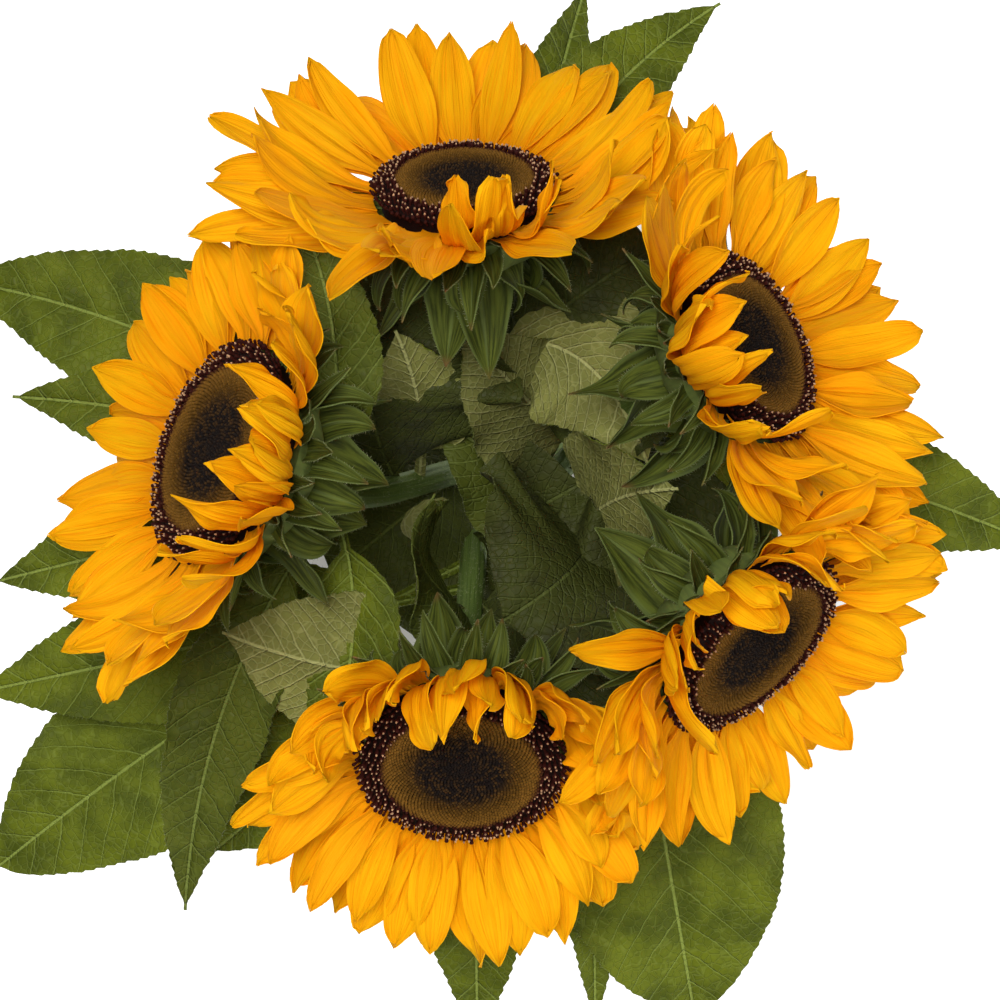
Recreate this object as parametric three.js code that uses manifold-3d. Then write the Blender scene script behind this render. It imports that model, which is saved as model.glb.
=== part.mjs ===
// A hand-tied bunch of five cut sunflowers, standing on its own splayed cut ends.
// Millimetres, +Z up. The origin is the middle of the bunch's footprint, level with the cut ends.
// Each flower has a stem, a green calyx with its bracts, a seed disc, three fans of petals and its leaves.
// The stems cross in a spiral inside one twine tie, so they splay below it and part above it.
import * as THREE from "three";
import { mergeVertices } from "three/addons/utils/BufferGeometryUtils.js";
import Module from "manifold-3d";

const wasm = await Module();
wasm.setup();

// ---- Driving dimensions -------------------------------------------------------------------

const CLEARANCE = 0.3; // gap left between pieces that touch
const BUNCH = { spread: 98, height: 360 }; // how far out and how high a typical disc stands
const STEM = { diameter: 10.5, sides: 8, steps: 13, neckBend: 46 };
const STEM_GAP_AT_TIE = 4; // room between neighbouring stems where they cross
const TIE = { height: 150, width: 15, thickness: 2.4, sides: 20 };
const CALYX = {
  depth: 22, neckRadius: 7.5, neckFlare: 3, belly: 0.72, rimOverhang: 1.5, rimThickness: 2.6, sides: 12,
};
const BRACT = { count: 12, length: 20, width: 12, thickness: 1.2, forward: 4, rooted: 5, tip: 0.15 };
const DISC = { sunk: 4, rimHeight: 2.4, domeHeight: 7, dimple: 0.8, shoulder: 0.9, crown: 0.7, sides: 16 };
const PETAL = { perWhorl: 12, width: 17, thickness: 1, segments: 3, foot: 4, tip: 1.6, fullness: 0.7 };
const PETAL_RING = { inset: 1, outset: 4, thickness: 3.5, segments: 5 };
const LEAF = {
  thickness: 1.1, stalkWidth: 4, stalkTaper: 0.6, fold: 12, belly: 0.62, fullness: 0.8, segments: 6,
};

// The two whorls of petals: how much more forward than its head's cup each leans, in degrees, and
// how far behind the disc's plane it grows.
const WHORLS = [
  { lean: 8, behind: 1.6 },
  { lean: -6, behind: 2.7 },
];
const CUP = { atFoot: 0.4, alongPetal: 1.2 }; // shares of a petal's cup at its foot and gained along it
const INNER_SHARPNESS = 2.4; // how closely the inner cup keeps to the head's inner side

// bearing, facing and tilt in degrees: bearing is where the head stands round the tie,
// facing is the way it looks, counted from +X, and tilt is how far it looks down from +Z.
// further and higher: where its disc stands, against the bunch's spread and height.
// cupInner and cupOuter are how far its petals bend forward, towards the tie and away from it.
const FLOWERS = [
  { name: "rear", bearing: 98, further: 5, higher: -8, facing: 91, tilt: 58,
    discRadius: 31, petalLength: 58, cupInner: 14, cupOuter: 21 },
  { name: "right_rear", bearing: 29, further: -2, higher: -2, facing: 23, tilt: 54,
    discRadius: 33, petalLength: 50, cupInner: 62, cupOuter: 20 },
  { name: "right_front", bearing: -33, further: 2, higher: 6, facing: -45, tilt: 58,
    discRadius: 36, petalLength: 50, cupInner: 64, cupOuter: 20 },
  { name: "front", bearing: -99, further: 0, higher: 0, facing: -92, tilt: 40,
    discRadius: 35, petalLength: 50, cupInner: 70, cupOuter: 20 },
  { name: "left", bearing: 174, further: 0, higher: 4, facing: 160, tilt: 55,
    discRadius: 38, petalLength: 50, cupInner: 66, cupOuter: 16 },
];

// at: how far up its stem a leaf grows, from 0 to 1. heading, pitch and length: where its tip lies
// from its root. arch and sway: how far its rib bows up and to its left. roll: how far its face turns
// over. stalk: the share of its length that is bare stalk.
const LEAVES = [
  // Stalked leaves that spread outwards below the heads.
  { flower: "rear", at: 0.8, heading: 74, pitch: -4, length: 149, arch: 13,
    sway: 0, width: 40, roll: 25, stalk: 0.25 },
  { flower: "rear", at: 0.85, heading: 54, pitch: -11, length: 163, arch: 8,
    sway: 14, width: 48, roll: 0, stalk: 0.25 },
  { flower: "right_rear", at: 0.8, heading: -16, pitch: -5, length: 174, arch: 15,
    sway: 5, width: 54, roll: 0, stalk: 0.3 },
  { flower: "right_front", at: 0.78, heading: -80, pitch: -6, length: 190, arch: 11,
    sway: 0, width: 80, roll: 0, stalk: 0.45 },
  { flower: "right_front", at: 0.7, heading: -88, pitch: -1, length: 193, arch: 16,
    sway: 0, width: 40, roll: -20, stalk: 0.3 },
  { flower: "front", at: 0.78, heading: -89, pitch: -8, length: 170, arch: 11,
    sway: 0, width: 50, roll: 0, stalk: 0.25 },
  { flower: "front", at: 0.72, heading: -168, pitch: 2, length: 196, arch: 15,
    sway: 0, width: 64, roll: 0, stalk: 0.25 },
  { flower: "front", at: 0.66, heading: -147, pitch: 1, length: 225, arch: 17,
    sway: -6, width: 64, roll: 0, stalk: 0.25 },
  { flower: "front", at: 0.8, heading: -138, pitch: -5, length: 133, arch: 11,
    sway: 0, width: 54, roll: 0, stalk: 0.25 },
  { flower: "left", at: 0.72, heading: 156, pitch: 1, length: 193, arch: 15,
    sway: -12, width: 70, roll: 0, stalk: 0.3 },
  { flower: "left", at: 0.82, heading: 165, pitch: -1, length: 138, arch: 6,
    sway: -8, width: 44, roll: 0, stalk: 0.25 },
  { flower: "left", at: 0.78, heading: -167, pitch: -2, length: 153, arch: 11,
    sway: 0, width: 50, roll: 0, stalk: 0.3 },
  { flower: "left", at: 0.9, heading: -111, pitch: -11, length: 169, arch: 9,
    sway: -12, width: 42, roll: 0, stalk: 0.3 },
  // Smaller leaves that stand and curl in the middle of the bunch.
  { flower: "rear", at: 0.82, heading: -37, pitch: 15, length: 79, arch: 20,
    sway: 18, width: 48, roll: 180, stalk: 0.15 },
  { flower: "rear", at: 0.78, heading: 33, pitch: 24, length: 84, arch: 13,
    sway: 0, width: 48, roll: 0, stalk: 0.15 },
  { flower: "right_rear", at: 0.72, heading: 137, pitch: 47, length: 92, arch: 19,
    sway: 4, width: 48, roll: 180, stalk: 0.15 },
  { flower: "right_rear", at: 0.62, heading: 175, pitch: 47, length: 77, arch: 28,
    sway: -4, width: 56, roll: 0, stalk: 0.15 },
  { flower: "right_rear", at: 0.66, heading: -55, pitch: 32, length: 80, arch: 16,
    sway: 8, width: 44, roll: 0, stalk: 0.15 },
  { flower: "right_front", at: 0.62, heading: 23, pitch: 65, length: 123, arch: 44,
    sway: -5, width: 48, roll: 180, stalk: 0.25 },
  { flower: "right_front", at: 0.75, heading: -149, pitch: 47, length: 71, arch: 20,
    sway: 7, width: 40, roll: 0, stalk: 0.15 },
  { flower: "front", at: 0.88, heading: 173, pitch: 13, length: 91, arch: 18,
    sway: 8, width: 62, roll: 160, stalk: 0.3 },
  { flower: "front", at: 0.78, heading: 97, pitch: 47, length: 76, arch: 15,
    sway: 17, width: 38, roll: 75, stalk: 0.15 },
  { flower: "front", at: 0.75, heading: -15, pitch: 25, length: 77, arch: 16,
    sway: -6, width: 44, roll: 0, stalk: 0.15 },
  { flower: "front", at: 0.62, heading: 40, pitch: 53, length: 79, arch: 24,
    sway: -5, width: 44, roll: 0, stalk: 0.15 },
  { flower: "left", at: 0.93, heading: -94, pitch: -6, length: 107, arch: 1,
    sway: 12, width: 32, roll: 20, stalk: 0.2 },
  { flower: "left", at: 0.95, heading: 94, pitch: 9, length: 97, arch: 6,
    sway: -9, width: 32, roll: 0, stalk: 0.25 },
  { flower: "left", at: 0.7, heading: 97, pitch: 56, length: 97, arch: 15,
    sway: -5, width: 38, roll: 180, stalk: 0.2 },
  { flower: "left", at: 0.75, heading: 90, pitch: 25, length: 89, arch: 19,
    sway: 9, width: 44, roll: 0, stalk: 0.15 },
  { flower: "left", at: 0.55, heading: -142, pitch: 20, length: 76, arch: 13,
    sway: 0, width: 64, roll: 0, stalk: 0.15 },
];

// ---- Small helpers ------------------------------------------------------------------------

const rad = THREE.MathUtils.degToRad;
const AXIS_UP = new THREE.Vector3(0, 0, 1);

function polar(radius, bearing, height) {
  return new THREE.Vector3(radius * Math.cos(rad(bearing)), radius * Math.sin(rad(bearing)), height);
}

function toSolid(geometry, matrix) {
  const bare = new THREE.BufferGeometry().setAttribute("position", geometry.getAttribute("position").clone());
  if (geometry.index) bare.setIndex(geometry.index.clone());
  if (matrix) bare.applyMatrix4(matrix);
  const merged = mergeVertices(bare, 1e-4);
  return new wasm.Manifold(
    new wasm.Mesh({
      numProp: 3,
      vertProperties: new Float32Array(merged.attributes.position.array),
      triVerts: new Uint32Array(merged.index.array),
    }),
  );
}

function toGeometry(solid, matrix) {
  const mesh = solid.getMesh();
  const points = new Float32Array(mesh.numVert * 3);
  for (let i = 0; i < mesh.numVert; i++) {
    points.set(mesh.vertProperties.subarray(i * mesh.numProp, i * mesh.numProp + 3), i * 3);
  }
  const geometry = new THREE.BufferGeometry()
    .setAttribute("position", new THREE.BufferAttribute(points, 3))
    .setIndex(new THREE.BufferAttribute(new Uint32Array(mesh.triVerts), 1));
  if (matrix) geometry.applyMatrix4(matrix);
  geometry.computeVertexNormals();
  return geometry;
}

function join(geometries) {
  return toGeometry(geometries.map((g) => toSolid(g)).reduce((a, b) => a.add(b)));
}

// A turned solid about Z from its half profile of [radius, height] pairs, from the bottom up.
function turned(profile, sides) {
  const points = profile.map(([radius, height]) => new THREE.Vector2(radius, height));
  return new THREE.LatheGeometry(points, sides).rotateX(Math.PI / 2);
}

// A thin blade: a box bent so that its length follows place(s), with its breadth from width(s).
// place(s) gives {point, side, face}; fold lifts both edges towards the face. grow thickens it all round.
function blade({ segments, across, place, width, thickness, fold = 0, grow }) {
  const box = new THREE.BoxGeometry(2, 1, 1, across, segments, 1).translate(0, 0.5, 0);
  const at = box.getAttribute("position");
  for (let i = 0; i < at.count; i++) {
    const s = at.getY(i);
    const { point, side, face } = place(s);
    const offset = at.getX(i) * (width(s) / 2 + grow);
    const lift = at.getZ(i) * (thickness + 2 * grow) + Math.abs(offset) * fold;
    const p = point.clone().addScaledVector(side, offset).addScaledVector(face, lift);
    if (s === 0 || s === 1) p.addScaledVector(face.clone().cross(side), s ? grow : -grow);
    at.setXYZ(i, p.x, p.y, p.z);
  }
  return box;
}

// ---- Stems --------------------------------------------------------------------------------

const stemRadius = STEM.diameter / 2;
// Five leaning stems laid side by side round a waist: their axes pass this far from its middle.
const waistRadius = (STEM.diameter + STEM_GAP_AT_TIE) / (2 * Math.sin(Math.PI / FLOWERS.length));

function facingOf(flower) {
  const flat = polar(Math.sin(rad(flower.tilt)), flower.facing, 0);
  return flat.setZ(Math.cos(rad(flower.tilt)));
}

function discCentre(flower) {
  return polar(BUNCH.spread + flower.further, flower.bearing, BUNCH.height + flower.higher);
}

function neckOf(flower) {
  return discCentre(flower).addScaledVector(facingOf(flower), -(CALYX.depth + DISC.sunk));
}

// Straight from its cut end through the tie to the shoulder, then bending over to its head.
function stemCurve(flower, index) {
  const facing = facingOf(flower);
  const neck = neckOf(flower);
  const halfway = facing.clone().add(AXIS_UP).normalize();
  const shoulder = neck.clone().addScaledVector(halfway, -STEM.neckBend);
  const spiral = FLOWERS[0].bearing - 90 - (360 / FLOWERS.length) * index;
  const waist = polar(waistRadius, spiral, TIE.height);
  const run = shoulder.clone().sub(waist);
  const below = waist.clone().addScaledVector(run, -(TIE.height + STEM.diameter) / run.z);
  const nearNeck = neck.clone().addScaledVector(facing, -STEM.neckBend / 4);
  const inCalyx = neck.clone().addScaledVector(facing, 4 * CLEARANCE);
  const points = [below, waist, shoulder, nearNeck, inCalyx];
  return new THREE.CatmullRomCurve3(points, false, "centripetal");
}

const stemCurves = FLOWERS.map(stemCurve);

function stem(curve, grow = 0) {
  const ring = new THREE.Shape();
  for (let k = 0; k < STEM.sides; k++) {
    const turn = (2 * Math.PI * k) / STEM.sides;
    const x = (stemRadius + grow) * Math.cos(turn);
    const y = (stemRadius + grow) * Math.sin(turn);
    if (k) ring.lineTo(x, y);
    else ring.moveTo(x, y);
  }
  const tube = new THREE.ExtrudeGeometry(ring, { steps: STEM.steps, extrudePath: curve });
  const deep = 4 * STEM.diameter;
  const wide = 4 * TIE.height;
  const floor = new THREE.BoxGeometry(wide, wide, deep).translate(0, 0, -deep / 2);
  return toGeometry(toSolid(tube).subtract(toSolid(floor)));
}

// ---- Tie ----------------------------------------------------------------------------------

// A band of twine that clears every stem over its whole width.
function tie(grow = 0) {
  let reach = 0;
  for (const curve of stemCurves) {
    for (const p of curve.getSpacedPoints(20 * STEM.steps)) {
      if (Math.abs(p.z - TIE.height) < TIE.width) reach = Math.max(reach, Math.hypot(p.x, p.y));
    }
  }
  const inner = (reach + stemRadius) / Math.cos(Math.PI / TIE.sides) + CLEARANCE - grow;
  const outer = inner + TIE.thickness + 2 * grow;
  const low = TIE.height - TIE.width / 2 - grow;
  const high = low + TIE.width + 2 * grow;
  return turned([[inner, low], [outer, low], [outer, high], [inner, high], [inner, low]], TIE.sides);
}

// ---- Flower heads, each in its own frame: +Z looks out of the disc, +Y points up and inwards ----

function calyx(flower, grow = 0) {
  const top = -DISC.sunk - CLEARANCE;
  const bottom = top - CALYX.depth;
  const rim = flower.discRadius + CALYX.rimOverhang;
  const bowl = turned(
    [
      [0, bottom - grow],
      [CALYX.neckRadius + grow, bottom - grow],
      [CALYX.neckRadius + CALYX.neckFlare + grow, bottom + CALYX.depth / 5],
      [rim * CALYX.belly + grow, bottom + CALYX.depth / 2],
      [rim + grow, top - CALYX.rimThickness],
      [rim + grow, top + grow],
      [0, top + grow],
    ],
    CALYX.sides,
  );
  const slope = rad(BRACT.forward);
  const bracts = Array.from({ length: BRACT.count }, (_, k) => {
    const turn = (2 * Math.PI * k) / BRACT.count;
    const out = new THREE.Vector3(Math.sin(turn), Math.cos(turn), 0);
    const side = new THREE.Vector3(Math.cos(turn), -Math.sin(turn), 0);
    const along = out.clone().multiplyScalar(Math.cos(slope)).setZ(Math.sin(slope));
    const face = side.clone().cross(along);
    const root = out.clone().multiplyScalar(rim - BRACT.rooted).setZ(top - CALYX.rimThickness);
    return blade({
      segments: 1,
      across: 1,
      thickness: BRACT.thickness,
      grow,
      width: (s) => BRACT.width * (1 - s + BRACT.tip * s),
      place: (s) => ({
        point: root.clone().addScaledVector(along, s * (BRACT.length + BRACT.rooted)),
        side,
        face,
      }),
    });
  });
  return join([bowl, ...bracts]);
}

function disc(flower) {
  const radius = flower.discRadius;
  const low = radius - PETAL_RING.inset - CLEARANCE;
  const shelf = -DISC.sunk + PETAL_RING.thickness + CLEARANCE;
  return turned(
    [
      [0, -DISC.sunk],
      [low, -DISC.sunk],
      [low, shelf],
      [radius, shelf],
      [radius, DISC.rimHeight],
      [radius * DISC.shoulder, DISC.domeHeight - DISC.dimple],
      [radius * DISC.crown, DISC.domeHeight],
      [0, DISC.domeHeight - DISC.dimple],
    ],
    DISC.sides,
  );
}

// The petals that a head carries, each with its turn from the inner side, its cup and its level.
function petalsOf(flower) {
  return WHORLS.flatMap(({ lean, behind }, whorl) =>
    Array.from({ length: PETAL.perWhorl }, (_, k) => {
      const turn = ((k + 1 / 4 + whorl / WHORLS.length) * 360) / PETAL.perWhorl;
      const inward = ((1 + Math.cos(rad(turn))) / 2) ** INNER_SHARPNESS;
      const cup = flower.cupOuter + (flower.cupInner - flower.cupOuter) * inward + lean;
      return { turn, cup, behind };
    }),
  );
}

function petal(flower, { turn, cup, behind }, grow) {
  const start = rad(cup * CUP.atFoot);
  const bend = rad(cup * CUP.alongPetal);
  const out = new THREE.Vector3(Math.sin(rad(turn)), Math.cos(rad(turn)), 0);
  const side = new THREE.Vector3(Math.cos(rad(turn)), -Math.sin(rad(turn)), 0);
  const base = flower.discRadius + PETAL_RING.outset / 2;
  const { petalLength } = flower;
  return blade({
    segments: PETAL.segments,
    across: 1,
    thickness: PETAL.thickness,
    grow,
    width: petalWidth,
    place: (s) => {
      const angle = start + bend * s;
      const radial = base + (petalLength * (Math.sin(angle) - Math.sin(start))) / bend;
      const forward = -behind + (petalLength * (Math.cos(start) - Math.cos(angle))) / bend;
      const along = out.clone().multiplyScalar(Math.cos(angle)).setZ(Math.sin(angle));
      const point = out.clone().multiplyScalar(radial).setZ(forward);
      return { point, side, face: side.clone().cross(along) };
    },
  });
}

// Narrow where it grows, widest past its middle, drawn to a blunt point.
function petalWidth(s) {
  const belly = Math.sin(Math.PI * s) ** PETAL.fullness;
  return Math.max(PETAL.tip, PETAL.foot * (1 - s) + (PETAL.width - PETAL.foot * (1 - s)) * belly);
}

const FANS = { inner: 0, right: 120, left: 240 }; // the middle of each fan, by its turn

function fan(flower, middle, grow = 0) {
  const span = 360 / Object.keys(FANS).length;
  const inner = flower.discRadius - PETAL_RING.inset - grow;
  const outer = flower.discRadius + PETAL_RING.outset + grow;
  const margin = rad(span / 2) - (CLEARANCE - grow) / inner;
  const from = rad(90 - middle) - margin;
  const to = rad(90 - middle) + margin;
  const arc = new THREE.Shape().absarc(0, 0, outer, from, to, false).absarc(0, 0, inner, to, from, true);
  const ring = new THREE.ExtrudeGeometry(arc, {
    depth: PETAL_RING.thickness + 2 * grow,
    curveSegments: PETAL_RING.segments,
    bevelEnabled: false,
  }).translate(0, 0, -DISC.sunk - grow);
  const mine = petalsOf(flower).filter(({ turn }) => {
    const off = THREE.MathUtils.euclideanModulo(turn - middle + 180, 360) - 180;
    return Math.abs(off) < span / 2;
  });
  return join([ring, ...mine.map((p) => petal(flower, p, grow))]);
}

// ---- Leaves -------------------------------------------------------------------------------

function leafFrame(leaf) {
  const curve = stemCurves[FLOWERS.findIndex(({ name }) => name === leaf.flower)];
  const root = curve.getPointAt(leaf.at);
  const flat = polar(Math.cos(rad(leaf.pitch)), leaf.heading, Math.sin(rad(leaf.pitch)));
  const tip = root.clone().addScaledVector(flat, leaf.length);
  const left = AXIS_UP.clone().cross(flat).normalize();
  const bow = left.clone().multiplyScalar(2 * leaf.sway).addScaledVector(AXIS_UP, 2 * leaf.arch);
  const middle = root.clone().add(tip).multiplyScalar(0.5).add(bow);
  const rib = new THREE.QuadraticBezierCurve3(root, middle, tip);
  return (s) => {
    const along = rib.getTangent(s);
    const level = AXIS_UP.clone().cross(along).normalize();
    const side = level.clone().applyAxisAngle(along, rad(leaf.roll)).negate();
    return { point: rib.getPoint(s), side, face: side.clone().cross(along) };
  };
}

function leafBlade(leaf, grow = 0) {
  return blade({
    segments: LEAF.segments,
    across: 2,
    thickness: LEAF.thickness,
    grow,
    fold: Math.tan(rad(LEAF.fold)),
    width: (s) => leafWidth(s, leaf),
    place: leafFrame(leaf),
  });
}

// A stalk, then a blade that is widest low down and runs out to a point.
function leafWidth(s, { width, stalk }) {
  const t = Math.max(0, (s - stalk) / (1 - stalk));
  const bladeWidth = width * Math.sin(Math.PI * t ** LEAF.belly) ** LEAF.fullness;
  return Math.max(LEAF.stalkWidth * (1 - LEAF.stalkTaper * s), bladeWidth);
}

// ---- The bunch ----------------------------------------------------------------------------

const green = new THREE.MeshStandardMaterial({ color: 0x5d7030, roughness: 0.75, metalness: 0 });
const leafGreen = new THREE.MeshStandardMaterial({ color: 0x55661f, roughness: 0.65, metalness: 0 });
const calyxGreen = new THREE.MeshStandardMaterial({ color: 0x46541c, roughness: 0.8, metalness: 0 });
const yellow = new THREE.MeshStandardMaterial({ color: 0xfbae04, roughness: 0.55, metalness: 0 });
const seedBrown = new THREE.MeshStandardMaterial({ color: 0x33190b, roughness: 0.85, metalness: 0 });
const twine = new THREE.MeshStandardMaterial({ color: 0xb79a62, roughness: 0.95, metalness: 0 });

// Adds a mesh to its group. room is the same piece grown by the clearance, which others stay out of.
function place(group, name, material, build, family) {
  const mesh = new THREE.Mesh(build(0), material);
  mesh.name = name;
  mesh.userData = { room: build(CLEARANCE), family };
  group.add(mesh);
}

const bunch = new THREE.Group();
FLOWERS.forEach((flower) => {
  const head = new THREE.Group();
  head.position.copy(discCentre(flower));
  head.rotation.set(rad(flower.tilt), 0, rad(flower.facing + 90), "ZXY");
  bunch.add(head);
  place(head, `${flower.name}_calyx`, calyxGreen, (grow) => calyx(flower, grow), flower.name);
  place(head, `${flower.name}_disc`, seedBrown, () => disc(flower), flower.name);
  for (const [side, middle] of Object.entries(FANS)) {
    const build = (grow) => fan(flower, middle, grow);
    place(head, `${flower.name}_petals_${side}`, yellow, build, flower.name);
  }
});

FLOWERS.forEach((flower, index) => {
  place(bunch, `${flower.name}_stem`, green, (grow) => stem(stemCurves[index], grow));
});
place(bunch, "tie", twine, tie);

LEAVES.forEach((leaf) => {
  const number = LEAVES.filter(({ flower }) => flower === leaf.flower).indexOf(leaf) + 1;
  place(bunch, `${leaf.flower}_leaf_${number}`, leafGreen, (grow) => leafBlade(leaf, grow));
});

// Each piece gives way to the pieces before it, and keeps its largest part.
function giveWay(meshes) {
  const solids = meshes.map((mesh) => toSolid(mesh.geometry, mesh.matrixWorld));
  const rooms = meshes.map((mesh) => toSolid(mesh.userData.room, mesh.matrixWorld));
  meshes.forEach((mesh, i) => {
    const { family } = mesh.userData;
    let cut = solids[i];
    for (let j = 0; j < i; j++) {
      if (family && family === meshes[j].userData.family) continue;
      const left = cut.subtract(rooms[j]);
      if (left.volume() < cut.volume() - 1e-6) cut = left;
    }
    if (cut === solids[i]) return;
    const largest = cut.decompose().reduce((a, b) => (b.volume() > a.volume() ? b : a));
    mesh.geometry = toGeometry(largest, mesh.matrixWorld.clone().invert());
  });
}

bunch.updateMatrixWorld(true);
const pieces = [];
bunch.traverse((o) => {
  if (o.isMesh) pieces.push(o);
});
giveWay(pieces);

const extent = new THREE.Box3().setFromObject(bunch, true);
const middle = extent.getCenter(new THREE.Vector3());
bunch.position.set(-middle.x, -middle.y, -extent.min.z);

export default bunch;
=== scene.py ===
# Looks of a hand-tied bunch of five cut sunflowers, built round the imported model.
# Metres, +Z up. A head's own frame has its origin in the disc's plane: X across, Y up and inwards,
# and Z out of the disc.
import functools

import bpy
import numpy as np
from bpy.props import FloatProperty, FloatVectorProperty, IntProperty, PointerProperty
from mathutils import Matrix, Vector


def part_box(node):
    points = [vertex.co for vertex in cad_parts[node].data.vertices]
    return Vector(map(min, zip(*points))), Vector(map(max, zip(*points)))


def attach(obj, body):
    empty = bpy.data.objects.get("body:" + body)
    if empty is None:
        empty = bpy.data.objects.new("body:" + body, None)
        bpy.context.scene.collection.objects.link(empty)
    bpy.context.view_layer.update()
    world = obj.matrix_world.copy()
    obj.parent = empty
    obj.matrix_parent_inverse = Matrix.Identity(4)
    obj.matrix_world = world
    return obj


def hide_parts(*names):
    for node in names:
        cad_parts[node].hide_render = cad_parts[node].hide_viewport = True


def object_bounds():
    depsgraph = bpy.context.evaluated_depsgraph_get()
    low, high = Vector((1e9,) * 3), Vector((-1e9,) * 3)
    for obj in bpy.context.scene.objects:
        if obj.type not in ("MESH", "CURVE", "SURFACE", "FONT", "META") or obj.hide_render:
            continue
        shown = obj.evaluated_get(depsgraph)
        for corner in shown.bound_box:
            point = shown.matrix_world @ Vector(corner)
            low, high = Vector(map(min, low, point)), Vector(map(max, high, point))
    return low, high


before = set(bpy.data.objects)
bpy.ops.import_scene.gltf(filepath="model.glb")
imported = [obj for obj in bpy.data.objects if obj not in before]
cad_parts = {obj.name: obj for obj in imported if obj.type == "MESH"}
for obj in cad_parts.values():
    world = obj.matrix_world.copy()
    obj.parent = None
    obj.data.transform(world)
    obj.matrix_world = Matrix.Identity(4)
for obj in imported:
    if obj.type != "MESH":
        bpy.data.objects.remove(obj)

bl_info = {
    "name": "Sunflower Bunch",
    "version": (1, 0, 0),
    "blender": (4, 5, 0),
    "location": "3D View > Sidebar > Sunflowers",
    "description": "Petals, seed discs, bracts, leaves, stems and twine of a hand-tied bunch",
    "category": "Add Mesh",
}

CAD_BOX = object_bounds()
MM = 0.001
UP = np.array([0.0, 0.0, 1.0])
FANS = {"inner": 0, "right": 120, "left": 240}  # the middle of each fan, by its turn in degrees
DISC_SUNK = 4 * MM  # how far a disc's underside lies behind its plane
CALYX_DEPTH = 26.3 * MM  # from the disc's plane back to the neck
STEM_SAMPLES, LEAF_SAMPLES = 24000, 9000  # the points at which a CAD stem or leaf is measured
SLICES = 16  # the slices across a CAD leaf in which it is measured
BUDS_END = 0.81  # the share of a disc's radius that unopened florets cover

# ---- Maths and meshes ---------------------------------------------------------------------------


def unit(vectors):
    return vectors / np.linalg.norm(vectors, axis=-1, keepdims=True)


def smooth(value, low, high):
    """0 below low, 1 above high, and an even turn between them."""
    t = np.clip((value - low) / (high - low), 0, 1)
    return t * t * (3 - 2 * t)


def bulk(items, key, width=3, kind=float):
    """One row of numbers for each of a mesh's items."""
    found = np.empty(len(items) * width, kind)
    items.foreach_get(key, found)
    return found.reshape(-1, width)


def mesh_points(node):
    """The places of a CAD node's vertices, each once."""
    return np.unique(bulk(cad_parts[node].data.vertices, "co").round(6), axis=0)


def skin_points(node, count):
    """Points spread evenly over a CAD node's skin."""
    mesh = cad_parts[node].data
    mesh.calc_loop_triangles()
    corners = bulk(mesh.loop_triangles, "vertices", kind=np.int32)
    a, b, c = bulk(mesh.vertices, "co")[corners].transpose(1, 0, 2)
    area = np.linalg.norm(np.cross(b - a, c - a), axis=1)
    chance = np.random.default_rng(5)
    pick = chance.choice(len(area), count, p=area / area.sum())
    u, v = chance.random((2, count, 1))
    u, v = np.where(u + v > 1, 1 - u, u), np.where(u + v > 1, 1 - v, v)
    return a[pick] + u * (b - a)[pick] + v * (c - a)[pick]


@functools.lru_cache
def sheet_faces(rows, columns):
    """Quads of a closed thin sheet of rows x columns points on its face and as many on its back."""
    at = np.arange(rows * columns).reshape(rows, columns)
    front = np.stack([at[:-1, :-1], at[:-1, 1:], at[1:, 1:], at[1:, :-1]], -1).reshape(-1, 4)
    back = front[:, ::-1] + rows * columns
    rim = np.concatenate([at[0, :-1], at[:-1, -1], at[-1, :0:-1], at[:0:-1, 0]])
    ahead = np.roll(rim, -1)
    side = np.stack([ahead, rim, rim + rows * columns, ahead + rows * columns], -1)
    coat = np.repeat([0, 1, 0], [len(front), len(back), len(side)])
    return np.concatenate([front, back, side]), coat


@functools.lru_cache
def tube_faces(rings, sides):
    """Quads of a tube of rings x sides points, and its two end caps."""
    at = np.arange(rings * sides).reshape(rings, sides)
    ahead = np.roll(at, -1, axis=1)
    wall = np.stack([at[:-1], ahead[:-1], ahead[1:], at[1:]], -1).reshape(-1, 4)
    return wall, np.stack([at[0, ::-1], at[-1]])


def full_turn(sides):
    """Angles spread evenly over one turn."""
    return np.arange(sides) * 2 * np.pi / sides


def turned(profile, sides):
    """Rings of points about Z through pairs of radius and height."""
    turn = full_turn(sides)
    radius, height = np.array(profile, float).T
    x, y = radius[:, None] * np.cos(turn), radius[:, None] * np.sin(turn)
    return np.stack([x, y, np.broadcast_to(height[:, None], x.shape)], -1)


def square_to(axes, guide):
    """Two ways square to each axis and to each other. No axis lies along the guide."""
    side = unit(np.cross(axes, np.array(guide)))
    return side, np.cross(axes, side)


def facing_frames(axes, size):
    """For each axis a 3x3 turn whose third row is that axis, scaled by size."""
    return np.stack([*square_to(axes, (0.31, 0.95, 0.05)), axes], 1) * size[:, None, None]


def spokes(axes, guide, sides):
    """Ways out from each axis, all round it."""
    side, cross = square_to(axes, guide)
    turn = full_turn(sides)[:, None]
    return side[:, None] * np.cos(turn) + cross[:, None] * np.sin(turn)


def rays(turn):
    """Ways across a head's plane at these turns, in radians from +Y towards +X."""
    return np.stack([np.sin(turn), np.cos(turn), np.zeros_like(turn)], -1)


def curve(fit, t):
    """Points of a fitted curve. fit has a column of polynomial coefficients for each coordinate."""
    return np.stack([np.polyval(column, t) for column in fit.T], -1)


def turn_gap(turn, other):
    """The angle between two turns in degrees."""
    return abs((turn - other + 180) % 360 - 180)


def run_of(line):
    """How far along a line of points each of them lies."""
    return np.concatenate([[0], np.cumsum(np.linalg.norm(np.diff(line, axis=0), axis=1))])


def read_off(line, run, at):
    """The line's rows at places between its points."""
    return np.stack([np.interp(at, run, column) for column in line.T], -1)


def pairs(across, along):
    """A place on a blade for every point of a grid."""
    return np.stack(np.broadcast_arrays(across, along), -1)


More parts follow.
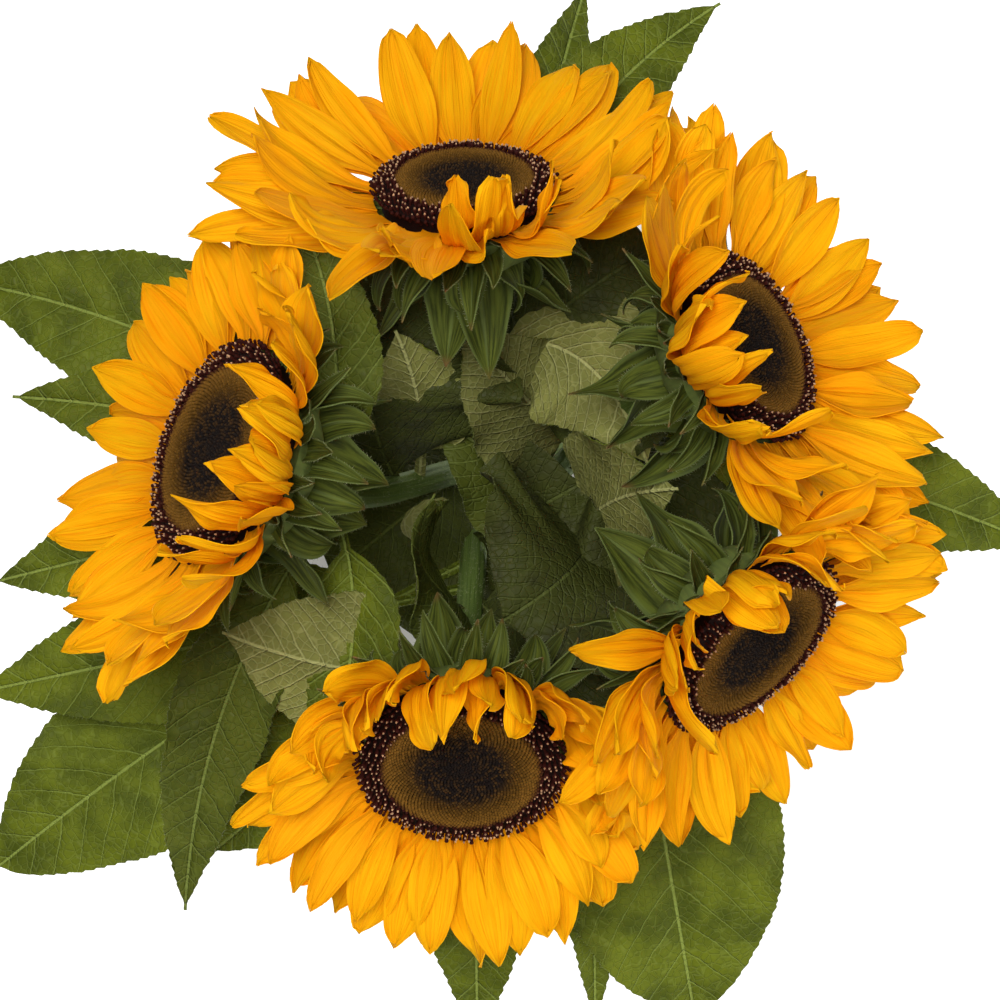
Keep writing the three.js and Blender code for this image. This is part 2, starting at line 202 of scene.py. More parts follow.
def laid_out(rib, side, face, x, lift):
    """Points across a blade: x to the side of its rib and lifted off its face."""
    return rib[:, None] + side[:, None] * x[..., None] + face[:, None] * lift[..., None]


def show(name, data):
    """Puts a mesh, lamp or camera in the scene."""
    made = bpy.data.objects.new(name, data)
    bpy.context.scene.collection.objects.link(made)
    return made


HAIR = turned([(0.06, 0), (0.012, 1)], 3)


class Growth:
    """Points and faces gathered for one piece. Each point has a place on its blade and a tone."""

    def __init__(self):
        self.points, self.uv, self.tone, self.faces, self.coats = [], [], [], [], []
        self.count = 0

    def add(self, points, faces, uv, tone, coat=0):
        points = points.reshape(-1, 3)
        self.points.append(points)
        self.uv.append(np.broadcast_to(uv, (len(points), 2)))
        self.tone.append(np.broadcast_to(tone, (len(points), 3)))
        for group in faces:
            self.faces += (group + self.count).tolist()
        self.coats.append(np.broadcast_to(coat, sum(len(group) for group in faces)))
        self.count += len(points)

    def sheet(self, grid, thickness, uv, tone):
        """Adds a closed thin sheet whose middle surface is grid, rows along it by columns across."""
        along, across = np.gradient(grid, axis=0), np.gradient(grid, axis=1)
        lift = unit(np.cross(across, along)) * thickness / 2
        faces, coat = sheet_faces(*grid.shape[:2])
        uv = np.tile(uv.reshape(-1, 2), (2, 1))
        self.add(np.stack([grid + lift, grid - lift]), [faces], uv, tone, coat)

    def tube(self, rings, uv, tone):
        """Adds a closed tube through rings of points."""
        self.add(rings, tube_faces(*rings.shape[:2]), uv.reshape(-1, 2), tone)

    def many(self, shape, turns, places, tones, coat=0):
        """Adds a copy of the tube shape for each 3x3 turn and place. tones has one row for each copy."""
        rings, sides = shape.shape[:2]
        points = np.einsum("rsk,nkj->nrsj", shape, turns) + places[:, None, None]
        first = (np.arange(len(places)) * rings * sides)[:, None, None]
        faces = [(group + first).reshape(-1, group.shape[1]) for group in tube_faces(rings, sides)]
        self.add(points, faces, (0, 0), np.repeat(tones, rings * sides, axis=0), coat)

    def hairs(self, places, ways, length, chance):
        """Adds a fine hair at each place, about that way and length. Hairs wear the third coat."""
        count = len(places)
        axes = unit(ways + chance.normal(0, 0.35, (count, 3)))
        turns = facing_frames(axes, length * chance.uniform(0.5, 1.2, count))
        self.many(HAIR, turns, places, np.full((count, 3), 0.5), 2)

    def fringe(self, grid, length, gap, chance):
        """Adds hairs along both margins of a sheet."""
        for edge, inner in ((grid[:, 0], grid[:, 1]), (grid[:, -1], grid[:, -2])):
            run = run_of(edge)
            at = np.linspace(0.06, 0.97, int(run[-1] / gap)) * run[-1]
            ways = read_off(unit(edge - inner), run, at)
            self.hairs(read_off(edge, run, at), ways, length, chance)

    def piece(self, name, slot, finishes, *nodes):
        """Makes the piece, riding on the bunch and standing for these CAD nodes."""
        mesh = bpy.data.meshes.new(name)
        mesh.from_pydata(np.concatenate(self.points), [], self.faces)
        corners = bulk(mesh.loops, "vertex_index", 1, np.int32)[:, 0]
        blade = mesh.uv_layers.new(name="blade", do_init=False)
        blade.uv.foreach_set("vector", np.concatenate(self.uv)[corners].astype(np.float32).ravel())
        tone = np.concatenate([np.concatenate(self.tone), np.ones((self.count, 1))], axis=1)
        tones = mesh.color_attributes.new("tone", "FLOAT_COLOR", "POINT")
        tones.data.foreach_set("color", tone.astype(np.float32).ravel())
        for finish in finishes:
            mesh.materials.append(finish)
        mesh.polygons.foreach_set("material_index", np.concatenate(self.coats).astype(np.int32))
        mesh.shade_smooth()
        mesh.set_sharp_from_angle(angle=np.radians(55))
        made = show(name, mesh)
        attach(made, "root")
        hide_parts(*nodes)


# ---- Where the heads, stems and leaves are ------------------------------------------------------


class Head:
    """A flower head's frame and its disc's radius, from its CAD disc."""

    def __init__(self, name):
        points = mesh_points(name + "_disc")
        middle = points.mean(0)
        out = np.linalg.eigh(np.cov((points - middle).T))[1][:, 0]
        out = out * np.sign(out[2])
        up = unit(UP - out * out[2])
        self.name = name
        self.axes = np.array([np.cross(up, out), up, out])
        local = (points - middle) @ self.axes.T
        self.radius = np.hypot(local[:, 0], local[:, 1]).max()
        self.origin = middle + out * (local[:, 2].min() + DISC_SUNK)

    def place(self, local):
        return self.origin + local @ self.axes

    def luck(self, seed):
        """Random numbers of this head's own."""
        return np.random.default_rng(list(HEADS).index(self.name) + seed)


HEADS = {name: Head(name) for name in ("rear", "right_rear", "right_front", "front", "left")}


def stem_line(name):
    """Points along a stem's axis, from its cut end to the neck of its head."""
    skin = skin_points(name + "_stem", STEM_SAMPLES)
    head = HEADS[name]
    neck = head.place(np.array([0, 0, -CALYX_DEPTH]))
    heights = np.arange(0, neck[2] - 9 * MM, 6 * MM)
    near = [skin[np.abs(skin[:, 2] - h - 3 * MM) < 5 * MM] for h in heights]
    middles = np.array([found.mean(0) for found in near] + [neck])
    fit = np.polyfit(middles[:, 2], middles[:, :2], 6, w=[1] * len(near) + [6])
    height = np.linspace(0, neck[2], 90)
    return np.column_stack([curve(fit, height), height])


class Leaf:
    """A leaf's rib, breadth and face, read from its CAD node. Places along it run from 0 to 1."""

    def __init__(self, node, stem, back):
        skin = skin_points(node, LEAF_SAMPLES)
        ends = [skin.mean(0)]
        for _ in range(3):
            ends.append(skin[np.argmax(np.linalg.norm(skin - ends[-1], axis=1))])
        gaps = [np.linalg.norm(stem - end, axis=1).min() for end in ends[-2:]]
        root, tip = ends[-2:] if gaps[0] < gaps[1] else ends[:-3:-1]
        chord = tip - root
        t = (skin - root) @ chord / (chord @ chord)
        bins = np.clip((t * SLICES).astype(int), 0, SLICES - 1)
        slices = [bins == b for b in np.unique(bins)]
        at = (np.unique(bins) + 0.5) / SLICES
        self.rib_fit = np.polyfit(at, [skin[each].mean(0) for each in slices], 3)
        off = skin - self.rib(t)
        along = self.along(t)
        off = off - (off * along).sum(1, keepdims=True) * along
        sides, spreads = [], []
        for each in slices:
            spread, ways = np.linalg.eigh(np.cov(off[each].T))
            sides.append(ways[:, 2] * (np.sign(ways[:, 2] @ sides[-1]) if sides else 1))
            spreads.append(spread[2])
        self.side_fit = np.polyfit(at, sides, 2, w=spreads)
        side, face = self.sides(t)
        x = (off * side).sum(1)
        if (face[:, 2].mean() < 0) != back:
            self.side_fit = -self.side_fit
        halves = np.array([np.percentile(np.abs(x[each]), 97) for each in slices])
        self.half = halves.max()
        self.stalk = max(0.0, at[halves > 0.3 * self.half].min() - 0.06)
        self.length = np.linalg.norm(chord)

    def rib(self, t):
        return curve(self.rib_fit, t)

    def along(self, t):
        return unit(curve(self.rib_fit[:-1] * [[3], [2], [1]], t))

    def sides(self, t):
        along = self.along(t)
        side = curve(self.side_fit, t)
        side = unit(side - (side * along).sum(-1, keepdims=True) * along)
        return side, np.cross(side, along)


# ---- Materials ----------------------------------------------------------------------------------


class Wire:
    """An output socket in a material. Arithmetic on it adds Math nodes."""

    def __init__(self, tree, socket=None):
        self.tree, self.socket = tree, socket

    def node(self, kind, settings=None, sockets=None, output=0):
        """Adds a node: its settings first, then the values or links of its sockets."""
        made = self.tree.nodes.new(kind)
        for key, value in (settings or {}).items():
            if key == "stops":
                stops = made.color_ramp.elements
                while len(stops) < len(value):
                    stops.new(0.5)
                for stop, (position, colour) in zip(stops, value):
                    stop.position, stop.color = position, (*colour, 1)
            else:
                setattr(made, key, value)
        for key, value in (sockets or {}).items():
            if isinstance(value, Wire):
                self.tree.links.new(value.socket, made.inputs[key])
            else:
                made.inputs[key].default_value = value
        return Wire(self.tree, made.outputs[output])

    def maths(self, operation, *values):
        return self.node("ShaderNodeMath", {"operation": operation}, dict(enumerate(values)))

    def __add__(self, other):
        return self.maths("ADD", self, other)

    def __sub__(self, other):
        return self.maths("SUBTRACT", self, other)

    def __rsub__(self, other):
        return self.maths("SUBTRACT", other, self)

    def __mul__(self, other):
        return self.maths("MULTIPLY", self, other)

    def __truediv__(self, other):
        return self.maths("DIVIDE", self, other)

    def __abs__(self):
        return self.maths("ABSOLUTE", self)

    __radd__ = __add__
    __rmul__ = __mul__

    def rise(self, low, high):
        """0 below low, 1 above high, smooth between."""
        settings = {"interpolation_type": "SMOOTHSTEP"}
        return self.node("ShaderNodeMapRange", settings, {0: self, 1: low, 2: high, 3: 0.0, 4: 1.0})

    def blend(self, first, second):
        """The first colour where this wire is 0, the second where it is 1."""
        colours = {6: opaque(first), 7: opaque(second), 0: self}
        return self.node("ShaderNodeMix", {"data_type": "RGBA"}, colours, 2)

    def parts(self):
        return [self.node("ShaderNodeSeparateXYZ", {}, {0: self}, k) for k in range(3)]

    def vector(self, x, y, z):
        return self.node("ShaderNodeCombineXYZ", {}, {0: x, 1: y, 2: z})

    def noise(self, place, scale=1.0, detail=3.0):
        sockets = {"Vector": place, "Scale": scale, "Detail": detail}
        return self.node("ShaderNodeTexNoise", {}, sockets)

    def cells(self, place, scale):
        """How far a place is from the nearest wall of a net of cells."""
        settings = {"feature": "DISTANCE_TO_EDGE"}
        return self.node("ShaderNodeTexVoronoi", settings, {"Vector": place, "Scale": scale})

    def bump(self, height, depth):
        return self.node("ShaderNodeBump", {}, {"Height": height, "Distance": depth, "Strength": 1.0})


def opaque(colour):
    return colour if isinstance(colour, Wire) else (*colour, 1)


class Finish:
    """A material with its fixed values, the wires it starts from, and what it feeds."""

    def __init__(self, name, **fixed):
        self.material = bpy.data.materials.new(name)
        self.material.use_nodes = True
        self.shader = self.material.node_tree.nodes["Principled BSDF"]
        for key, value in fixed.items():
            self.shader.inputs[key.replace("_", " ")].default_value = value
        self.wire = Wire(self.material.node_tree)
        self.across, self.along, _ = self.wire.node("ShaderNodeUVMap", {"uv_map": "blade"}).parts()
        tone = self.wire.node("ShaderNodeAttribute", {"attribute_name": "tone"})
        self.chance, self.second, self.third = tone.parts()
        self.point = self.wire.node("ShaderNodeTexCoord", {}, {}, 3)

    def place(self, across, along, shift):
        """A place on the blade, drawn out by these and shifted from one blade to the next."""
        return self.wire.vector(self.across * across, self.along * along, self.chance * shift)

    def thin(self, colour, share):
        """Lets a share of the light through, in this colour."""
        tree = self.material.node_tree
        through = self.wire.node("ShaderNodeBsdfTranslucent", {}, {"Color": colour})
        skin = Wire(tree, self.shader.outputs[0])
        both = self.wire.node("ShaderNodeMixShader", {}, {0: share, 1: skin, 2: through})
        tree.links.new(both.socket, tree.nodes["Material Output"].inputs["Surface"])

    def feed(self, **wires):
        for key, wire in wires.items():
            socket = self.shader.inputs[key.replace("_", " ")]
            self.material.node_tree.links.new(wire.socket, socket)
        return self.material

    def surface(self, colour, rough, height, depth):
        """Feeds the colour, the roughness and a relief that is depth mm high."""
        return self.feed(Base_Color=colour, Roughness=rough, Normal=self.wire.bump(height, depth * MM))


def petal_finish(sizes):
    """Golden petals: deeper at the foot, finely streaked along, darkened along the middle crease as a
    painted shade, and each a little its own shade.
    """
    finish = Finish("petal_gold", Specular_IOR_Level=0.05)
    wire = finish.wire
    lines = wire.noise(finish.place(34, 1.3, 60))
    cloud = wire.noise(finish.place(3, 3, 90), detail=2.0)
    foot = 1 - finish.along.rise(0.02, 0.5)
    body = (lines.rise(0.35, 0.72) * 0.5 + cloud.rise(0.3, 0.7) * 0.5).blend(sizes.gold, sizes.light)
    # Painted shade: each petal is darkened along its middle crease.
    crease = 1 - abs(finish.across - 0.5).rise(0.0, 0.05)
    deep = (foot * 0.7 + (1 - lines.rise(0.32, 0.48)) * 0.5 + crease * 0.2).blend(body, sizes.deep)
    shade = (1 - finish.chance.rise(0.0, 0.35)) * 0.35
    colour = shade.blend(deep, sizes.deep)
    ripple = lines * 0.5 + wire.noise(finish.place(9, 1.2, 30))
    finish.thin(colour, 0.3)
    return finish.surface(colour, lines * 0.2 + 0.5, ripple, 1.1)


def disc_finish(sizes):
    """Unopened florets, near black in the middle and olive bronze further out, and the open ring.

    The florets' lower parts and the bed between them are darkened: a painted shade. The buds' crowns
    are lighter: partly their own golden tips, partly a painted highlight.
    """
    finish = Finish("disc_florets", Specular_IOR_Level=0.05)
    wire = finish.wire
    radius, chance, height = finish.chance, finish.second, finish.third
    stops = [(0.0, sizes.middle), (0.42, sizes.middle), (0.58, sizes.bronze * 0.5),
             (0.74, sizes.bronze), (0.8, sizes.maroon), (1.0, sizes.maroon)]
    zone = wire.node("ShaderNodeValToRGB", {"stops": stops}, {0: radius})
    crown = height.rise(0.45, 0.95) * (1 - radius.rise(0.78, 0.82))
    # Painted shade: the florets' lower parts and the bed between them are darkened towards near black.
    dark = (1 - height.rise(0.1, 0.7)) * 0.8
    # The buds' crowns are lighter: partly their own golden tips, partly a painted highlight.
    golden_tips_and_highlight = (crown * chance.rise(0.3, 1.0) * radius * 0.5).blend(zone, sizes.bronze * 1.6)
    colour = dark.blend(golden_tips_and_highlight, sizes.middle * 0.5)
    pale = height.rise(0.93, 0.97) * radius.rise(0.8, 0.84) * (0.4 + chance * 0.6)
    grain = wire.noise(finish.point, 2400.0)
    return finish.surface(pale.blend(colour, sizes.pollen), grain * 0.3 + 0.5, grain, 0.2)


LEAF_MM = (200, 250)  # the breadth and length in mm that a leaf's places from 0 to 1 stand for
VEIN_MM = 20  # the gap in mm between side veins that a leaf's second tone of 1 stands for
VEIN_SLANT, VEIN_CURVE = 0.85, 0.012  # how side veins climb away from the rib, per mm and per mm squared
UPPER_SIDE = {  # dark green and satin, with paler sunken veins
    "gloss": 0.1, "patches": 0.06, "grain": 0.9, "veins": (0.75, 0.45, 0.16),
    "relief": (-1, -0.8, -0.5), "rough": (0.42, 0.25), "depth": 0.55,
}
UNDERSIDE = {  # paler, matt and downy, with raised veins
    "gloss": 0.08, "patches": 0.07, "grain": 1.1, "veins": (0.8, 0.6, 0.3),
    "relief": (1, 0.9, 0.4), "rough": (0.65, 0.2), "depth": 0.6,
}


def leaf_veins(finish):
    """Lines of a leaf: its rib, its side veins and the fine net between them, each 0 to 1."""
    wire = finish.wire
    x = abs(finish.across - 0.5) * LEAF_MM[0]
    y = finish.along * LEAF_MM[1]
    place = finish.place(*LEAF_MM, 50)
    spacing = finish.second * VEIN_MM
    phase = (y - x * VEIN_SLANT - x * x * VEIN_CURVE + wire.noise(place, 0.07, 2.0) * 5) / spacing
    away = abs(phase - phase.maths("FLOOR", phase) - 0.5) * spacing
    side = (1 - away.rise(0.15, 0.75)) * (1 - x.rise(18.0, 40.0) * 0.5)
    net = 1 - wire.cells(place, 0.34).rise(0.0, 0.14)
    return 1 - x.rise(0.35, 1.0), side, net


def leaf_finish(name, first, second, vein, painted_shade, look):
    """One side of a leaf. look holds its gloss, its patches and grain, its veins and its relief."""
    finish = Finish(name, Specular_IOR_Level=look["gloss"])
    wire = finish.wire
    rib, side, net = leaf_veins(finish)
    place = finish.place(*LEAF_MM, 50)
    cloud = wire.noise(place, look["patches"])
    fine = wire.noise(place, look["grain"])
    body = (cloud.rise(0.3, 0.7) * 0.6 + fine * 0.4).blend(first, second)
    in_rib, in_side, in_net = look["veins"]
    veined = (rib * in_rib + side * in_side + net * in_net).blend(body, vein)
    # Painted shade: the third tone darkens the leaf towards a near-black colour, as where shade falls in the
    # bunch's middle.
    colour = (finish.third * (0.75 + cloud.rise(0.4, 0.7) * 0.25)).blend(veined, painted_shade)
    high_rib, high_side, high_net = look["relief"]
    height = fine * 0.25 + net * high_net + side * high_side + rib * high_rib
    rough, rougher = look["rough"]
    return finish.surface(colour, fine * rougher + rough, height, look["depth"])


def bract_finish(sizes):
    """Bracts: dark green with fine lines along them and browning tips."""
    finish = Finish("bract_green", Specular_IOR_Level=0.08)
    lines = finish.wire.noise(finish.place(16, 2.5, 70))
    body = lines.rise(0.3, 0.7).blend(sizes.dark, sizes.green)
    away = abs(finish.across - 0.5)
    edge = away.rise(0.40, 0.5) * 0.5 + (1 - away.rise(0.02, 0.07)) * 0.35
    edged = edge.blend(body, sizes.margin)
    colour = (finish.along.rise(0.86, 1.0) * finish.second).blend(edged, sizes.brown)
    return finish.surface(colour, lines * 0.2 + 0.55, lines, 0.5)


def hair_finish():
    """Fine pale hairs on bracts, stems and leaf margins."""
    finish = Finish("plant_hair", Specular_IOR_Level=0.3, Roughness=0.6)
    speck = finish.wire.noise(finish.point, 500.0)
    return finish.feed(Base_Color=speck.blend((0.20, 0.22, 0.09), (0.34, 0.36, 0.20)))


def stem_finish(sizes):
    """Stems: pale green, ribbed and speckled, with finer streaks along them."""
    finish = Finish("stem_green", Specular_IOR_Level=0.15)
    wire = finish.wire
    streak = wire.noise(finish.place(60, 9, 9))
    speck = wire.noise(finish.point, 900.0)
    body = streak.rise(0.3, 0.7).blend(sizes.dark, sizes.green)
    colour = (speck.rise(0.58, 0.7) * 0.5).blend(body, sizes.pale)
    return finish.surface(colour, speck * 0.25 + 0.45, streak * 0.6 + speck * 0.4, 0.5)


def pith_finish(sizes):
    """The cut ends: moist pale pith, darker and fibrous towards the bark."""
    finish = Finish("stem_pith", Specular_IOR_Level=0.4)
    pores = finish.wire.cells(finish.point, 1400.0)
    colour = pores.rise(0.0, 0.25).blend(sizes.pith * 0.55, sizes.pith)
    return finish.surface(colour, pores + 0.45, pores, 0.4)


def twine_finish(sizes):
    """Twine: tan fibres lying along each strand."""
    finish = Finish("twine_jute", Specular_IOR_Level=0.15, Sheen_Weight=0.3)
    wire = finish.wire
    fibres = wire.noise(finish.place(9, 700, 5))
    speck = wire.noise(finish.point, 1500.0)
    body = fibres.rise(0.3, 0.7).blend(sizes.tan * 0.6, sizes.tan)
    colour = (speck.rise(0.55, 0.75) * 0.5).blend(body, sizes.tan * 1.3)
    return finish.surface(colour, fibres * 0.1 + 0.85, fibres, 0.5)


# ---- Petals -------------------------------------------------------------------------------------

# Each head's petal length in mm and how far its petals bend forward towards the tie and away from
# it, in degrees. By turn round the head: how much further forward petals lean and how far they
# sweep to the side, in degrees, and their share of the full length. Then its odd petals: the turn,
# start and bend of each in degrees, its length and width in mm, and how blunt its tip is.
PETALS = {
    "rear": {
        "length": 61, "inner": 24, "outer": 21,
        "round": [(0, 8, 0, 0.85), (45, -6, 0, 1), (90, 0, 0, 1), (180, 0, 0, 1.1), (250, 0, 0, 1.02),
                  (290, 14, 0, 1), (330, 26, 0, 0.9)],
        "odd": [(4, 52, 60, 26, 16, 0.7), (352, 10, 40, 34, 20, 0.7), (20, 6, 22, 36, 20, 0.6)],
    },
    "right_rear": {
        "length": 55, "inner": 52, "outer": 20,
        "round": [(0, 0, 0, 1), (90, 0, 0, 1), (180, 0, 0, 1.08), (270, 4, 0, 1)],
        "odd": [(322, 34, 74, 50, 20, 0.6), (20, 30, 66, 52, 22, 0.6)],
    },
    "right_front": {
        "length": 54, "inner": 50, "outer": 20,
        "round": [(0, 0, 0, 0.84), (60, 8, 6, 0.85), (95, 8, 8, 0.82), (135, 0, 4, 0.95),
                  (180, 0, 0, 0.94), (270, 0, 0, 1)],
        "odd": [(331, -2, 4, 58, 14, 0.8), (318, 34, 72, 48, 20, 0.6),
                (10, 36, 70, 36, 19, 0.5), (38, 34, 64, 38, 19, 0.5)],
    },
    "front": {
        "length": 52, "inner": 64, "outer": 20,
        "round": [(0, 0, 0, 0.9), (45, 8, 14, 0.78), (75, 16, 50, 0.6), (105, 8, 42, 0.66),
                  (140, 0, 12, 0.98), (180, 0, 0, 1.1), (225, 0, -6, 1), (262, 3, -26, 0.95),
                  (295, 12, -44, 0.72), (325, 4, -22, 0.8)],
        "odd": [],
    },
    "left": {
        "length": 52, "inner": 54, "outer": 16,
        "round": [(0, 0, 0, 1), (90, 4, 0, 1.04), (180, 0, 0, 0.93), (230, 0, 0, 0.95),
                  (275, 6, -6, 0.88), (320, 4, 0, 0.9)],
        "odd": [(20, 34, 80, 47, 18, 0.8), (345, 26, 56, 50, 20, 0.9)],
    },
}
ROWS = (  # the rows of petals from the disc outwards: how far forward they lean and grow behind it
    {"lean": 10, "behind": 0.9, "length": 0.9},
    {"lean": 1, "behind": 1.9, "length": 1.0},
    {"lean": -7, "behind": 2.9, "length": 1.04},
)
ODD_CLEAR = 9  # how close to an odd petal no other grows, in degrees
LIE = 0.45  # the share by which petals roll over to face the sky
LIE_MOST = 1.2  # and the most that they would roll, in radians
PETAL_THICKNESS = 0.35 * MM


def bow(turn, s, angle, heading, length, far, behind):
    """A blade's middle line from its root, and its ways along, to the side and out of its face.

    It leans forward by angle and swings aside by heading at each share s of its length.
    """
    out = rays(turn)
    side = np.cross(out, UP)
    swing, drift = np.cos(heading)[:, None], np.sin(heading)[:, None]
    along = np.cos(angle)[:, None] * (swing * out + drift * side) + np.sin(angle)[:, None] * UP
    steps = (along[1:] + along[:-1]) / 2 * np.diff(s)[:, None] * length
    root = out * far - UP * behind
    level = swing * side - drift * out
    rib = root + np.concatenate([np.zeros((1, 3)), np.cumsum(steps, axis=0)])
    return rib, along, level, np.cross(level, along)


def rolled(level, face, twist):
    """A blade's ways to the side and out of its face, after a roll about its length."""
    c, s = np.cos(twist)[:, None], np.sin(twist)[:, None]
    return level * c + face * s, face * c - level * s


def petal_grid(head, turn, start, bend, length, width, behind, style):
    """A petal's middle surface in its head's frame. Angles are in radians."""
    s = np.linspace(0, 1, 19) ** 0.9
    u = np.linspace(-1, 1, 13)
    angle = start + bend * s + style["curl"] * s**3
    far = head.radius + 1.4 * MM
    rib, along, level, face = bow(turn, s, angle, style["sway"] * s, length, far, behind)
    sky = UP @ head.axes.T
    lie = np.clip(np.arctan2(-level @ sky, face @ sky), -LIE_MOST, LIE_MOST) * LIE * smooth(s, 0.0, 0.5)
    level, face = rolled(level, face, style["twist"] * s + lie)
    widest = style["widest"]
    before = 1 - np.clip(1 - s / widest, 0, 1) ** 1.9
    after = (1 - np.clip((s - widest) / (1 - widest), 0, 1) ** 2.1) ** style["point"]
    half = np.maximum(width / 2 * before * after, 3.5 * MM * (1 - s) + 0.25 * MM)[:, None]
    x = u * half
    lift = style["channel"] * u**2 * half * (1 - 0.5 * s[:, None])
    crease = np.sin(np.pi * np.clip(s, 0, 1) ** 0.8)[:, None] * (1 - u**4)
    lift = lift + style["furrow"] * np.cos(style["ridges"] * np.pi * u + style["shift"]) * crease
    wave = np.sin(style["phase"] + 10 * s[:, None] + 1.7 * np.sign(u)) * np.abs(u) ** 3
    lift = lift + style["wave"] * wave * smooth(s, 0.2, 0.7)[:, None]
    notch = style["notch"] * (np.cos(3 * np.pi * u + style["shift"]) - 1) * s[:, None] ** 9
    grid = laid_out(rib, level, face, x, lift) + along[:, None] * notch[..., None]
    return grid, pairs(u * 0.5 + 0.5, s[:, None])


def petal_style(chance):
    """What makes one petal differ from the next."""
    return {
        "curl": np.radians(chance.normal(-6, 16)),
        "sway": np.radians(chance.normal(0, 11)),
        "twist": np.radians(chance.normal(0, 15)),
        "widest": chance.uniform(0.42, 0.6),
        "point": chance.uniform(0.4, 0.95),
        "notch": chance.uniform(0.0, 1.4) * MM,
        "channel": chance.uniform(-0.1, 0.65),
        "furrow": chance.uniform(0.4, 1.15) * MM,
        "ridges": chance.choice([2, 3]),
        "shift": chance.normal(0, 0.5),
        "phase": chance.uniform(0, 6.3),
        "wave": chance.uniform(0.4, 2.4) * MM,
    }


def petal_habit(name, turn):
    """How far a head's petals bend forward at a turn, sweep aside, and their share of full length."""
    habit = PETALS[name]
    turns, *around = np.array([*habit["round"], (360, *habit["round"][0][1:])]).T
    forward, sweep, reach = (np.interp(turn % 360, turns, found) for found in around)
    inward = ((1 + np.cos(np.radians(turn))) / 2) ** 2.4
    return habit["outer"] + (habit["inner"] - habit["outer"]) * inward + forward, sweep, reach, inward


def petals_of(name, sizes, chance):
    """Every petal of a head: its turn, start, bend, length, width, place behind the disc and style."""
    habit = PETALS[name]
    odd = habit["odd"]
    for row, shape in enumerate(ROWS):
        for k in range(sizes.per_row):
            turn = ((k + row / 3 + 0.2) * 360 / sizes.per_row + chance.uniform(-4, 4)) % 360
            cup, sweep, reach, inward = petal_habit(name, turn)
            cup += shape["lean"]
            style = petal_style(chance)
            style["sway"] += np.radians(sweep)
            start = cup * 0.4 + chance.normal(0, 3.5)
            bend = cup * 1.2 + chance.normal(0, 6 + 9 * inward)
            length = habit["length"] * MM * shape["length"] * reach * chance.uniform(0.88, 1.06)
            width = sizes.width * chance.uniform(0.76, 1.12)
            if row or all(turn_gap(turn, each[0]) > ODD_CLEAR for each in odd):
                yield turn, start, bend, length, width, shape["behind"] * MM, style
    for *angles, length, width, point in odd:
        style = {**petal_style(chance), "curl": 0, "wave": 2.2 * MM, "point": point}
        yield *angles, length * MM, width * MM, 0, style


def grow_petals(name, sizes, gold):
    """The three fans of one head."""
    head = HEADS[name]
    chance = head.luck(11)
    fans = {fan: Growth() for fan in FANS}
    for turn, start, bend, length, width, behind, style in petals_of(name, sizes, chance):
        angles = np.radians([turn, start, bend])
        grid, uv = petal_grid(head, *angles, length, width, behind, style)
        fan = min(FANS, key=lambda fan: turn_gap(turn, FANS[fan]))
        tone = (chance.random(), chance.random(), 0)
        fans[fan].sheet(head.place(grid), PETAL_THICKNESS, uv, tone)
    for fan, growth in fans.items():
        growth.piece(f"{name}_petal_fan_{fan}", "petal", [gold, gold], f"{name}_petals_{fan}")


# ---- Seed discs ---------------------------------------------------------------------------------


def dome_height(part):
    """Height of the florets' crowns at a share of the disc's radius."""
    return (6.2 + 0.9 * np.exp(-(((part - 0.68) / 0.2) ** 2)) - 2.2 * smooth(part, 0.8, 1.05)) * MM


# Profiles of an unopened floret, an open one and its tip, as radius and height.
BUD = turned([(0.6, 0), (0.84, 0.9), (0.78, 1.5), (0.42, 2.0), (0.12, 2.15)], 5)
OPEN_FLORET = turned([(0.5, 0), (0.55, 0.9), (0.4, 1.6), (0.75, 3.0), (0.85, 3.6), (0.5, 4.0)], 6)
FLORET_TIP = turned([(0.2, 3.7), (0.4, 4.1), (0.4, 4.5), (0.16, 4.8)], 5)
BUD_SUNK, FLORET_SUNK = 1.5 * MM, 2.2 * MM  # how deep they stand below the crowns' dome
FLORET_GAP, FLORET_WIDE = 2.2 * MM, 0.82 * MM
# Rows of open florets: each row's share of the disc's radius, and how far it leans outwards.
RING = ((0.825, -0.05), (0.875, 0.05), (0.925, 0.2), (0.97, 0.4), (1.01, 0.8))


